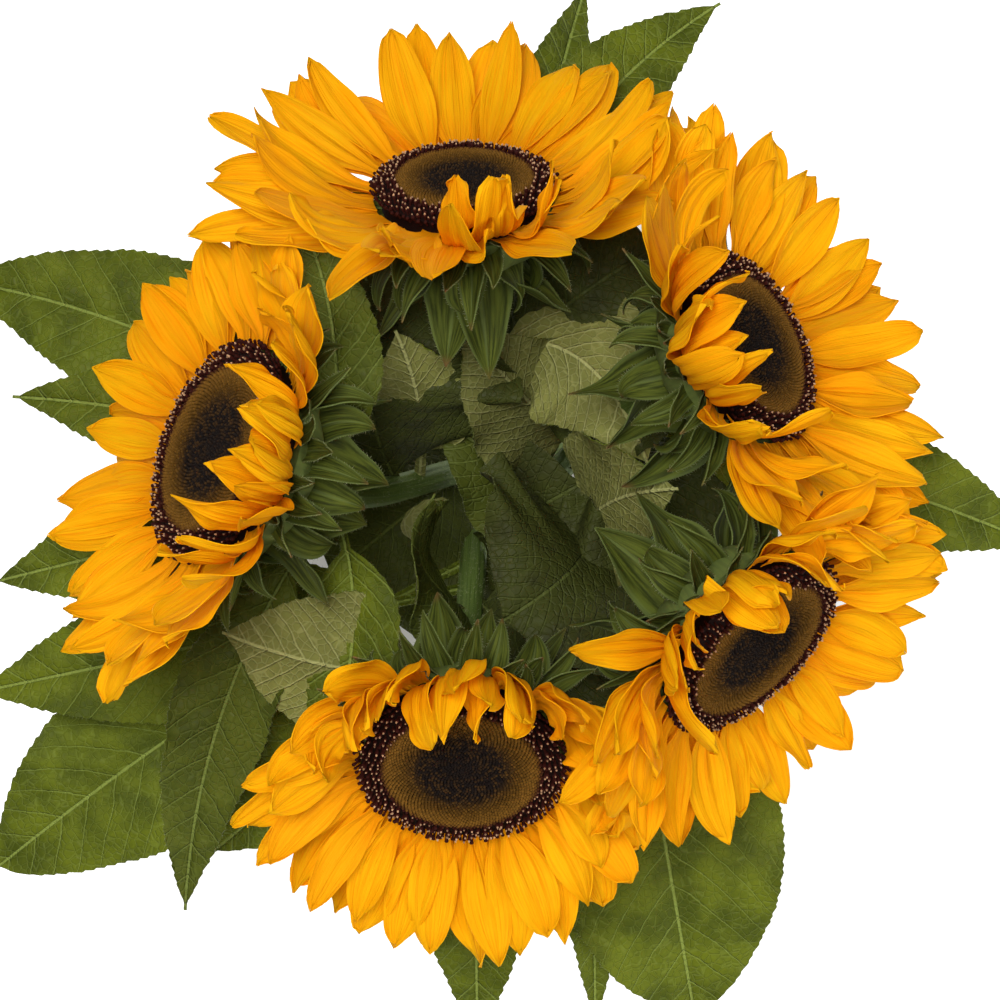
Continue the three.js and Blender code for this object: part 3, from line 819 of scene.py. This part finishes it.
def grow_disc(name, sizes, florets):
    head = HEADS[name]
    radius = head.radius
    chance = head.luck(31)
    growth = Growth()
    part = np.concatenate([[0.02], np.linspace(0.08, 1.0, 22)])
    bed = [(radius * p, dome_height(p) - 1.3 * MM) for p in part[::-1]]
    profile = [(radius - 1.4 * MM, -DISC_SUNK), (radius - 1.4 * MM, 0)] + bed
    rings = turned(profile, 64)
    share = np.hypot(rings[..., 0], rings[..., 1]) / radius
    # The bed's third tone is 0, so it takes the painted shade between the florets.
    tone = np.stack([share, share * 0 + 0.5, share * 0], -1).reshape(-1, 3)
    growth.tube(head.place(rings), np.zeros((*rings.shape[:2], 2)), tone)

    count = sizes.florets
    order = np.arange(count) + 0.5
    part = np.sqrt(order / count) * BUDS_END
    turn = order * np.pi * (3 - np.sqrt(5))
    flat = rays(turn)
    places = flat * (part * radius)[:, None] + UP * (dome_height(part) - BUD_SUNK)[:, None]
    lean = flat * (-0.25 + 0.5 * part)[:, None] + chance.normal(0, 0.06, (count, 3))
    size = radius / np.sqrt(count) * 1.02 * chance.uniform(0.85, 1.1, count)
    tones = np.stack([part, chance.random(count), np.ones(count)], -1)
    turns = facing_frames(unit(UP + lean), size) @ head.axes
    growth.many(BUD, turns, head.place(places), tones)
    # The third tone is the height up each bud: low parts take the painted shade, and crowns the lighter tips
    # and painted highlight.
    climb = np.tile(np.repeat([0.0, 0.35, 0.7, 0.95, 1.0], 5), count)
    growth.tone[-1] = growth.tone[-1] * [1, 1, 0] + climb[:, None] * [0, 0, 1]

    for row, (share, out) in enumerate(RING):
        count = int(2 * np.pi * radius * share / FLORET_GAP)
        turn = (np.arange(count) + 0.5 * (row % 2) + chance.uniform(-0.2, 0.2, count)) * 2 * np.pi / count
        flat = rays(turn)
        away = share + chance.uniform(-0.015, 0.015, count)
        places = flat * (away * radius)[:, None] + UP * (dome_height(away) - FLORET_SUNK)[:, None]
        axes = unit(UP + flat * out + chance.normal(0, 0.13, (count, 3)))
        size = chance.uniform(0.8, 1.2, count) * FLORET_WIDE
        tones = np.stack([np.maximum(away, 0.9), chance.random(count), np.ones(count)], -1)
        turns = facing_frames(axes, size) @ head.axes
        growth.many(OPEN_FLORET, turns, head.place(places), tones * [1, 1, 0.75])
        if row < len(RING) - 1:
            some = chance.random(count) < 0.85
            growth.many(FLORET_TIP, turns[some], head.place(places[some]), tones[some])
    growth.piece(f"{name}_seed_disc", "disc", [florets], f"{name}_disc")


# ---- Calyx and bracts ---------------------------------------------------------------------------

# Rows of bracts from the petals back: how many, where each grows (out from the rim and behind the
# disc's plane, in mm), its length and width in mm, the angles it starts and bends by in degrees,
# and how closely it follows the petals' own bend. The last row is the small leaves at the neck,
# and larger ones grow below them on the inner side.
BRACTS = (
    {"count": 19, "out": -3, "behind": 5.5, "length": 21, "width": 8, "start": -10, "bend": 0, "hug": 1},
    {"count": 16, "out": -3, "behind": 9, "length": 25, "width": 10, "start": -12, "bend": -8, "hug": 0.8},
    {"count": 11, "out": -6, "behind": 13, "length": 25, "width": 12, "start": -16, "bend": -90, "hug": 0.3},
    {"count": 7, "out": -18, "behind": 20, "length": 27, "width": 19, "start": -30, "bend": -90, "hug": 0},
)
INNER_LEAVES = {"out": -24, "behind": 25, "length": 38, "width": 27, "bend": 0, "hug": 0}
BRACT_THICKNESS = 0.5 * MM
RIM_PROUD = 1.0 * MM  # how far the calyx's rim stands out past the disc
CALYX_SIDES = 48


def grow_bract(growth, head, turn, shape, chance):
    inward = (1 + np.cos(turn)) / 2
    s, u = np.linspace(0, 1, 17), np.linspace(-1, 1, 7)
    cup = petal_habit(head.name, np.degrees(turn))[0] * shape["hug"]
    start = shape["start"] + 0.4 * cup + chance.normal(0, 5)
    bend = shape["bend"] + 0.7 * cup + chance.normal(0, 22) - 25 * inward * chance.random()
    angle = np.radians(start + bend * s**1.4)
    heading = np.radians(chance.normal(0, 20)) * s
    length = shape["length"] * MM * chance.uniform(0.8, 1.15)
    far = head.radius + RIM_PROUD + shape["out"] * MM
    rib, _, level, face = bow(turn, s, angle, heading, length, far, shape["behind"] * MM)
    level, face = rolled(level, face, np.radians(chance.normal(0, 22)) * s)
    half = shape["width"] / 2 * MM * (0.8 + 0.75 * s) * (1 - s**1.25) ** 1.1 + 0.12 * MM
    trough = chance.uniform(0.15, 0.75)
    wave = 0.16 * half[:, None] * np.sin(9 * s[:, None] + chance.uniform(0, 6) + np.sign(u)) * abs(u) ** 2
    lift = trough * u**2 * half[:, None] + wave * smooth(s, 0.1, 0.4)[:, None]
    placed = head.place(laid_out(rib, level, face, u * half[:, None], lift))
    tone = (chance.random(), chance.random(), inward)
    growth.sheet(placed, BRACT_THICKNESS, pairs(u * 0.5 + 0.5, s[:, None]), tone)
    growth.fringe(placed, 1.0 * MM, 1.1 * MM, chance)


def grow_calyx(name, green):
    head = HEADS[name]
    chance = head.luck(51)
    growth = Growth()
    rim = head.radius + RIM_PROUD
    neck, low = 7.2 * MM, CALYX_DEPTH - 0.2 * MM
    levels = np.linspace(0, 1, 14)
    bowl = np.stack([neck + (rim - neck) * np.sin(levels * np.pi / 2) ** 0.85, levels**1.5 * 0.021 - low], 1)
    top = -DISC_SUNK - 0.2 * MM
    rings = turned([*bowl, (rim - 3 * MM, top), (rim / 3, top)], CALYX_SIDES)
    turn = full_turn(CALYX_SIDES)
    ribs = 1 + 0.035 * np.cos(12 * turn) * np.sin(np.pi * levels)[:, None]
    rings[: len(levels), :, :2] *= ribs[..., None]
    uv = pairs(turn, np.linspace(0, 0.6, len(rings))[:, None])
    growth.tube(head.place(rings), uv, (0.5, 0.0, 0.0))
    for row, shape in enumerate(BRACTS):
        for k in range(shape["count"]):
            turn = (k + row / 3 + chance.uniform(-0.25, 0.25)) * 2 * np.pi / shape["count"]
            grow_bract(growth, head, turn, shape, chance)
    for turn, start in ((-78, -50), (-26, -82), (26, -82), (78, -50)):
        grow_bract(growth, head, np.radians(turn), {**INNER_LEAVES, "start": start}, chance)
    growth.piece(f"{name}_green_calyx", "calyx", green, f"{name}_calyx")


# ---- Leaves -------------------------------------------------------------------------------------

# How a leaf looks: where it is widest, how blunt its base and how drawn out its point, its breadth
# against the plain one, how its halves fold up, droop and roll (degrees), its waves and teeth (mm),
# how far its tip is lifted (mm), how far painted shade darkens it, and whether its underside
# shows from above.
PLAIN_LEAF = {
    "widest": 0.36, "base": 0.75, "point": 0.95, "wide": 1.0, "fold": 10, "droop": -14, "roll": 0,
    "wave": 1.6, "waves": 3.5, "teeth": 1.1, "lift": 0, "painted_shade": 0.0, "back": False,
}
SHADED = {"wide": 2.7, "widest": 0.5, "base": 0.6, "point": 0.6, "painted_shade": 0.95}  # low down, drawn extra wide and darkened nearly to black: painted shade in the bunch's middle
LEAVES = {
    "rear_leaf_3": {"back": True, "wide": 1.25, "wave": 2.2, "fold": 16},
    "rear_leaf_4": SHADED,
    "right_rear_leaf_2": {"back": True, "wide": 1.25, "wave": 1.2, "fold": 6, "painted_shade": 0.45},
    "right_rear_leaf_3": {"wide": 1.4, "wave": 3, "painted_shade": 0.6},
    "right_rear_leaf_4": SHADED,
    "right_front_leaf_1": {"base": 0.4, "point": 0.7, "wide": 1.22, "wave": 1.4, "roll": 20},
    "right_front_leaf_3": {"back": True, "wide": 1.25, "wave": 0.8, "droop": -30},
    "right_front_leaf_4": SHADED,
    "front_leaf_2": {"wave": 1.0, "roll": 20},
    "front_leaf_3": {"wide": 1.35, "widest": 0.45, "point": 0.7},
    "front_leaf_5": {"back": True, "wave": 1},
    "front_leaf_6": {"wide": 1.8, "wave": 3.5, "waves": 2.2, "painted_shade": 0.5},
    "front_leaf_7": SHADED,
    "front_leaf_8": SHADED,
    "left_leaf_4": {"wave": 2.6, "roll": 50, "painted_shade": 0.45},
    "left_leaf_5": {"wide": 1.3},
    "left_leaf_6": {"lift": 22, "wide": 1.1, "painted_shade": 0.4},
    "left_leaf_7": {"back": True, "wide": 1.2, "wave": 2.4},
    "left_leaf_8": SHADED,
    "left_leaf_9": {"wide": 2.5, "widest": 0.5, "painted_shade": 0.8},
}
LEAF_THICKNESS = 0.45 * MM


def grow_leaf(node, stem, finishes):
    style = {**PLAIN_LEAF, **LEAVES.get(node, {})}
    leaf = Leaf(node, stem, style["back"])
    chance = np.random.default_rng(sum(map(ord, node)))
    rows = int(np.clip(leaf.length / (1.3 * MM), 50, 170))
    t = np.linspace(-0.03, 1.015, rows)
    u = np.linspace(-1, 1, 23)
    blade = np.clip((t - leaf.stalk) / (1 - leaf.stalk), 0, 1)
    widest = style["widest"]
    before = (1 - np.clip(1 - blade / widest, 0, 1) ** 2) ** style["base"]
    after = (1 - np.clip((blade - widest) / (1 - widest), 0, 1) ** 1.9) ** style["point"]
    stalk = (2.1 - 1.6 * np.clip(t, 0, 1)) * MM
    wide = leaf.half * style["wide"] * before * after
    half = np.maximum(wide, stalk)[:, None]
    rise = np.clip(wide / leaf.half * 3, 0, 1)[:, None]
    y = (t * leaf.length)[:, None]

    part = np.abs(u)[None, :]
    bend = style["fold"] * rise + style["droop"] * part * rise
    bend = bend + style["roll"] * np.clip(part - 0.45, 0, 1) * rise
    sway = np.sin(2 * np.pi * style["waves"] * t[:, None] + np.sign(u) * 1.3 + chance.uniform(0, 6))
    bend = np.radians(bend + 9 * style["wave"] * sway * part**1.5 * rise)
    step = np.gradient(u)[None, :] * half
    middle = len(u) // 2
    x = np.cumsum(np.cos(bend) * step, axis=1)
    lift = np.cumsum(np.sin(bend) * np.sign(u) * step, axis=1)
    x, lift = x - x[:, middle : middle + 1], lift - lift[:, middle : middle + 1]

    teeth = leaf.length / (5.2 * MM)
    bite = style["teeth"] * MM * ((blade[:, None] * teeth + 0.3 * np.sign(u)) % 1) * part**10
    bite = bite * smooth(blade, 0.04, 0.15)[:, None] * (1 - smooth(blade, 0.9, 1.0))[:, None]
    x = x - np.sign(u) * bite
    spacing = np.clip(leaf.length * 0.075, 7 * MM, 14 * MM)
    reach = np.abs(x) / MM
    phase = (y / MM - reach * VEIN_SLANT - reach**2 * VEIN_CURVE) / (spacing / MM)
    quilt = -np.cos(2 * np.pi * phase + np.pi) * smooth(reach, 1, 7) * rise
    lift = lift + 0.4 * MM * quilt * (1 - part**4) - 0.8 * MM * np.exp(-((reach / 1.8) ** 2)) * rise
    lift = lift + (1 - rise) * 0.35 * part**2 * half

    rib = leaf.rib(t) + UP * (style["lift"] * MM * np.clip(t, 0, 1) ** 2)[:, None]
    grid = laid_out(rib, *leaf.sides(np.clip(t, 0.02, 0.98)), x, lift)
    broad, long = (size * MM for size in LEAF_MM)
    # The third tone is how far painted shade darkens this leaf.
    tone = (chance.random(), spacing / (VEIN_MM * MM), style["painted_shade"])
    growth = Growth()
    growth.sheet(grid, LEAF_THICKNESS, pairs(x / broad + 0.5, y / long), tone)
    growth.fringe(grid, 0.8 * MM, 1.5 * MM, chance)
    growth.piece(node.replace("_leaf_", "_green_leaf_"), "leaf", finishes, node)


# ---- Stems and twine ----------------------------------------------------------------------------

STEM_SIDES, STEM_HAIRS = 40, 1500
PLY_SIDES, PLIES = 8, 3
PLY_TURN = 6 * MM  # the length of twine in which its plies go round once
TWINE_GUIDE = (0.13, 0.05, 1.0)
STEM_HALF = 5.5 * MM  # from a stem's middle to where the twine lies on it


def grow_stem(name, sizes, finishes):
    line = stem_line(name)
    along = unit(np.gradient(line, axis=0))
    rest = smooth(line[:, 2], 4 * MM, 60 * MM)[:, None]
    plane = unit(UP * (1 - rest) + along * rest)
    turn = full_turn(STEM_SIDES)
    climb = np.linspace(0, 1, len(line))[:, None]
    ribs = 1 + 0.045 * np.cos(10 * turn + 1.2 * np.sin(6 * climb)) + 0.02 * np.sin(3 * turn + 9 * climb)
    radius = sizes.radius * (ribs + 0.32 * smooth(climb, 0.93, 1.0))
    spoke = spokes(along, (0.2, 0.9, 0.1), STEM_SIDES)
    offset = spoke * radius[..., None]
    slide = -(offset * plane[:, None]).sum(-1) / (along * plane).sum(-1)[:, None]
    rings = line[:, None] + offset + along[:, None] * slide[..., None]
    uv = pairs(turn / (2 * np.pi), climb)
    growth = Growth()
    inner = line[0] + (rings[0] - line[0]) * 0.8
    sunk = inner + UP * 0.8 * MM
    core = line[0] + (rings[0] - line[0]) * 0.2 + UP * 0.5 * MM
    ends = np.stack([core, sunk, inner])
    bark, caps = tube_faces(len(line) + 3, STEM_SIDES)
    uv = np.concatenate([np.zeros((3, STEM_SIDES, 2)), uv])
    pith = 2 * STEM_SIDES
    coat = np.repeat([1, 0, 1, 0], [pith, len(bark) - pith, 1, 1])
    growth.add(np.concatenate([ends, rings]), [bark, caps], uv.reshape(-1, 2), (0.5, 0.5, 0.5), coat)
    chance = HEADS[name].luck(71)
    ring, spot = chance.integers(5, len(line), STEM_HAIRS), chance.integers(0, STEM_SIDES, STEM_HAIRS)
    growth.hairs(rings[ring, spot], spoke[ring, spot], 1.3 * MM, chance)
    growth.piece(f"{name}_green_stem", "stem", finishes, f"{name}_stem")


def wrapped_line(sizes, low, high):
    """The twine's way round the stems, drawn tight, from the tie's foot to its top."""
    turns = int((high - low) / sizes.thickness)
    wrap = np.linspace(0, 2 * np.pi * turns, turns * 720)
    height = np.linspace(low + sizes.thickness / 2, high - sizes.thickness / 2, len(wrap))
    out = np.stack([np.cos(wrap), np.sin(wrap)], -1)
    stems = [stem_line(name) for name in HEADS]
    middles = np.array([read_off(stem[:, :2], stem[:, 2], height) for stem in stems])
    outmost = (middles * out).sum(-1).argmax(0)
    clear = STEM_HALF + sizes.thickness / 2
    points = np.column_stack([middles[outmost, np.arange(len(wrap))] + out * clear, height])
    run = run_of(points)
    return read_off(points, run, np.linspace(0, run[-1], turns * 120))


def grow_twine(sizes, jute):
    low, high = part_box("tie")
    growth = Growth()
    ply = sizes.thickness / 4
    knots = [wrapped_line(sizes, low.z, high.z)]
    top = knots[0][-1]
    s = np.linspace(0, 1, 70)[:, None]
    for way in (-1, 1):
        tail = top + np.concatenate(
            [
                s * 0 + 1.6 * MM + 1.5 * MM * np.sin(np.pi * s),
                way * (18 * MM * s - 3 * MM) + 2 * MM * np.sin(5 * s),
                -7 * MM - 12 * MM * s**2 + 2 * MM * np.sin(4 * s),
            ],
            axis=1,
        )
        knots.append(tail)
    loop = np.linspace(0, 2 * np.pi, 80)[:, None]
    round_knot = np.concatenate([1.6 * np.cos(loop), 2.6 * np.sin(loop), 3.2 * np.cos(loop)], axis=1)
    knots.append(top + (round_knot + [2, 0, -7]) * MM)
    for line in knots:
        side, cross = square_to(unit(np.gradient(line, axis=0)), TWINE_GUIDE)
        run = run_of(line)
        uv = pairs(np.arange(PLY_SIDES) / PLY_SIDES, run[:, None])
        for lay in np.arange(PLIES) / PLIES:
            turn = ((run / PLY_TURN + lay) * 2 * np.pi)[:, None]
            path = line + (side * np.cos(turn) + cross * np.sin(turn)) * ply * 1.05
            round_ply = spokes(unit(np.gradient(path, axis=0)), TWINE_GUIDE, PLY_SIDES) * ply
            growth.tube(path[:, None] + round_ply, uv, (lay, 0.5, 0.5))
    growth.piece("twine_tie", "twine", [jute], "tie")


# ---- Stage --------------------------------------------------------------------------------------


FLOOR_REACH = 20.0


def lay_floor(sizes):
    mesh = bpy.data.meshes.new("studio_floor")
    corners = [(x * FLOOR_REACH, y * FLOOR_REACH, 0) for x, y in ((-1, -1), (1, -1), (1, 1), (-1, 1))]
    mesh.from_pydata(corners, [], [(0, 1, 2, 3)])
    finish = Finish("pale_floor", Base_Color=(0.95, 0.95, 0.95, 1), Roughness=0.9)
    # The floor glows: a painted light that whitens it beyond the bunch. The glow fades out towards the
    # middle, so beneath the bunch only the lamps light the floor.
    finish.shader.inputs["Emission Strength"].default_value = sizes.floor_glow
    x, y, _ = finish.point.parts()
    away = (x * x + y * y).rise(0.07**2, 0.2**2)
    mesh.materials.append(finish.feed(Emission_Color=away.blend((0.0, 0.0, 0.0), (1.0, 1.0, 1.0))))
    floor = show("studio_floor", mesh)


def hang_light(name, place, target, size, power):
    lamp = bpy.data.lights.new(name, "AREA")
    lamp.shape, lamp.size, lamp.energy = "DISK", size, power
    made = show(name, lamp)
    made.location = place
    made.rotation_mode = "QUATERNION"
    made.rotation_quaternion = (target - Vector(place)).to_track_quat("-Z", "Y")


def set_stage(sizes):
    scene = bpy.context.scene
    lay_floor(sizes)
    middle = (CAD_BOX[0] + CAD_BOX[1]) / 2
    hang_light("high_softbox", (middle.x - 0.2, middle.y + 0.2, 1.9), middle, 0.7, sizes.key)
    hang_light("side_softbox", (middle.x + 0.9, middle.y - 0.9, 1.4), middle, 0.8, sizes.key * 0.4)
    scene.world = bpy.data.worlds.new("studio_air")
    scene.world.use_nodes = True
    air = scene.world.node_tree.nodes["Background"].inputs
    air["Color"].default_value = (1, 1, 1, 1)
    air["Strength"].default_value = sizes.air
    lens = bpy.data.cameras.new("camera")
    lens.lens, lens.sensor_width = sizes.lens, 36
    lens.clip_start, lens.clip_end = 0.05, 60
    scene.camera = show("camera", lens)
    scene.camera.location = (middle.x + 1.9 * MM, middle.y + 7.4 * MM, sizes.height)
    scene.view_settings.view_transform = "Standard"


# ---- What a user may change ---------------------------------------------------------------------


def length(name, description, default):
    return FloatProperty(
        name=name, description=description, default=default, min=0, unit="LENGTH", precision=4
    )


def colour(name, description, default):
    return FloatVectorProperty(
        name=name, description=description, default=default, min=0, max=1, size=3, subtype="COLOR"
    )


class PetalSettings(bpy.types.PropertyGroup):
    per_row: IntProperty(
        name="Petals in a row", description="Petals in each of a head's rows", default=19, min=3
    )
    width: length("Width", "Breadth of a typical petal", 17.8 * MM)
    gold: colour("Gold", "Main colour of the petals", (1.0, 0.49, 0.003))
    light: colour("Light gold", "Colour between the streaks", (1.0, 0.58, 0.005))
    deep: colour("Deep gold", "Colour at the foot and in the streaks", (0.97, 0.34, 0.002))


class DiscSettings(bpy.types.PropertyGroup):
    florets: IntProperty(name="Florets", description="Unopened florets on a disc", default=2100, min=50)
    middle: colour("Middle", "Colour of the disc's middle", (0.010, 0.007, 0.006))
    bronze: colour("Bronze", "Colour of the outer unopened florets", (0.15, 0.070, 0.010))
    maroon: colour("Maroon", "Colour of the open florets", (0.034, 0.007, 0.005))
    pollen: colour("Pollen", "Colour of the open florets' tips", (0.60, 0.36, 0.20))


class CalyxSettings(bpy.types.PropertyGroup):
    dark: colour("Dark green", "Colour in the bracts' lines", (0.026, 0.034, 0.005))
    green: colour("Green", "Main colour of the bracts", (0.085, 0.105, 0.014))
    margin: colour("Margin", "Colour of the bracts' edges", (0.13, 0.17, 0.05))
    brown: colour("Brown", "Colour of withered tips", (0.16, 0.085, 0.03))


class LeafSettings(bpy.types.PropertyGroup):
    dark: colour("Dark green", "Darker patches of the upper side", (0.036, 0.050, 0.004))
    green: colour("Green", "Main colour of the upper side", (0.140, 0.170, 0.009))
    vein: colour("Vein", "Colour of the veins above", (0.24, 0.30, 0.06))
    # Painted shade: the near-black colour that leaves in the bunch's shaded middle are darkened towards.
    painted_shade: colour("Dull", "Colour old, low leaves dull to", (0.028, 0.03, 0.010))
    under: colour("Underside", "Main colour of the underside", (0.215, 0.22, 0.055))
    under_vein: colour("Underside vein", "Colour of the veins below", (0.38, 0.38, 0.14))


class StemSettings(bpy.types.PropertyGroup):
    radius: length("Radius", "Half a stem's thickness", 5.1 * MM)
    green: colour("Green", "Main colour of the stems", (0.12, 0.18, 0.035))
    dark: colour("Dark green", "Colour in the stems' streaks", (0.07, 0.115, 0.018))
    pale: colour("Pale", "Colour of the specks", (0.24, 0.30, 0.10))
    pith: colour("Pith", "Colour of the cut ends", (0.62, 0.63, 0.42))


class TwineSettings(bpy.types.PropertyGroup):
    thickness: length("Thickness", "Thickness of the twine", 2.4 * MM)
    tan: colour("Tan", "Colour of the twine", (0.45, 0.31, 0.15))


class StageSettings(bpy.types.PropertyGroup):
    lens: FloatProperty(name="Lens", description="Focal length in millimetres", default=102.86, min=10)
    height: length("Camera height", "How high the camera hangs", 1.36)
    key: FloatProperty(name="Key light", description="Power of the high softbox", default=26, unit="POWER")
    air: FloatProperty(name="Room light", description="Strength of the even light", default=0.18)
    # Strength of the floor's painted glow beyond the bunch.
    floor_glow: FloatProperty(name="Floor glow", description="How much the floor glows", default=0.7)


# ---- Operators ----------------------------------------------------------------------------------


class GrowPetals(bpy.types.Operator):
    """Grow the petals of every head"""

    bl_idname = "sunflowers.petals"
    bl_label = "Petals"

    def execute(self, context):
        sizes = context.scene.sunflower_petals
        gold = petal_finish(sizes)
        for name in HEADS:
            grow_petals(name, sizes, gold)
        return {"FINISHED"}


class GrowDiscs(bpy.types.Operator):
    """Grow the seed disc of every head"""

    bl_idname = "sunflowers.discs"
    bl_label = "Seed discs"

    def execute(self, context):
        sizes = context.scene.sunflower_discs
        florets = disc_finish(sizes)
        for name in HEADS:
            grow_disc(name, sizes, florets)
        return {"FINISHED"}


class GrowCalyces(bpy.types.Operator):
    """Grow the green calyx and bracts of every head"""

    bl_idname = "sunflowers.calyces"
    bl_label = "Calyces and bracts"

    def execute(self, context):
        sizes = context.scene.sunflower_calyces
        bract = bract_finish(sizes)
        finishes = [bract, bract, hair_finish()]
        for name in HEADS:
            grow_calyx(name, finishes)
        return {"FINISHED"}


class GrowLeaves(bpy.types.Operator):
    """Grow every leaf on its stem"""

    bl_idname = "sunflowers.leaves"
    bl_label = "Leaves"

    def execute(self, context):
        sizes = context.scene.sunflower_leaves
        finishes = [
            leaf_finish("leaf_upper", sizes.dark, sizes.green, sizes.vein, sizes.painted_shade, UPPER_SIDE),
            leaf_finish(
                "leaf_under", sizes.under * 0.6, sizes.under, sizes.under_vein, sizes.painted_shade, UNDERSIDE
            ),
            hair_finish(),
        ]
        for name in HEADS:
            stem = stem_line(name)
            for node in sorted(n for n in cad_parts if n.startswith(name + "_leaf_")):
                grow_leaf(node, stem, finishes)
        return {"FINISHED"}


class GrowStems(bpy.types.Operator):
    """Grow the five stems with their cut ends"""

    bl_idname = "sunflowers.stems"
    bl_label = "Stems"

    def execute(self, context):
        sizes = context.scene.sunflower_stems
        finishes = [stem_finish(sizes), pith_finish(sizes), hair_finish()]
        for name in HEADS:
            grow_stem(name, sizes, finishes)
        return {"FINISHED"}


class WindTwine(bpy.types.Operator):
    """Wind the twine round the stems and knot it"""

    bl_idname = "sunflowers.twine"
    bl_label = "Twine"

    def execute(self, context):
        sizes = context.scene.sunflower_twine
        grow_twine(sizes, twine_finish(sizes))
        return {"FINISHED"}


class SetStage(bpy.types.Operator):
    """Lay the floor, hang the lights and place the camera"""

    bl_idname = "sunflowers.stage"
    bl_label = "Stage"

    def execute(self, context):
        set_stage(context.scene.sunflower_stage)
        return {"FINISHED"}


OPERATORS = (GrowPetals, GrowDiscs, GrowCalyces, GrowLeaves, GrowStems, WindTwine, SetStage)
SETTINGS = {
    "sunflower_petals": PetalSettings,
    "sunflower_discs": DiscSettings,
    "sunflower_calyces": CalyxSettings,
    "sunflower_leaves": LeafSettings,
    "sunflower_stems": StemSettings,
    "sunflower_twine": TwineSettings,
    "sunflower_stage": StageSettings,
}


class SunflowerPanel(bpy.types.Panel):
    """Lists the settings and the steps of the bunch"""

    bl_idname = "VIEW3D_PT_sunflowers"
    bl_label = "Sunflower bunch"
    bl_space_type = "VIEW_3D"
    bl_region_type = "UI"
    bl_category = "Sunflowers"

    def draw(self, context):
        for step, group in zip(OPERATORS, SETTINGS):
            box = self.layout.box()
            settings = getattr(context.scene, group)
            for key in SETTINGS[group].__annotations__:
                box.prop(settings, key)
            box.operator(step.bl_idname)


CLASSES = (*SETTINGS.values(), *OPERATORS, SunflowerPanel)


def register():
    for each in CLASSES:
        bpy.utils.register_class(each)
    for name, group in SETTINGS.items():
        setattr(bpy.types.Scene, name, PointerProperty(type=group))


def unregister():
    for name in SETTINGS:
        delattr(bpy.types.Scene, name)
    for each in reversed(CLASSES):
        bpy.utils.unregister_class(each)


def main():
    register()
    bpy.ops.sunflowers.stage()
    bpy.ops.sunflowers.petals()
    bpy.ops.sunflowers.discs()
    bpy.ops.sunflowers.calyces()
    bpy.ops.sunflowers.leaves()
    bpy.ops.sunflowers.stems()
    bpy.ops.sunflowers.twine()


if __name__ == "__main__":
    main()
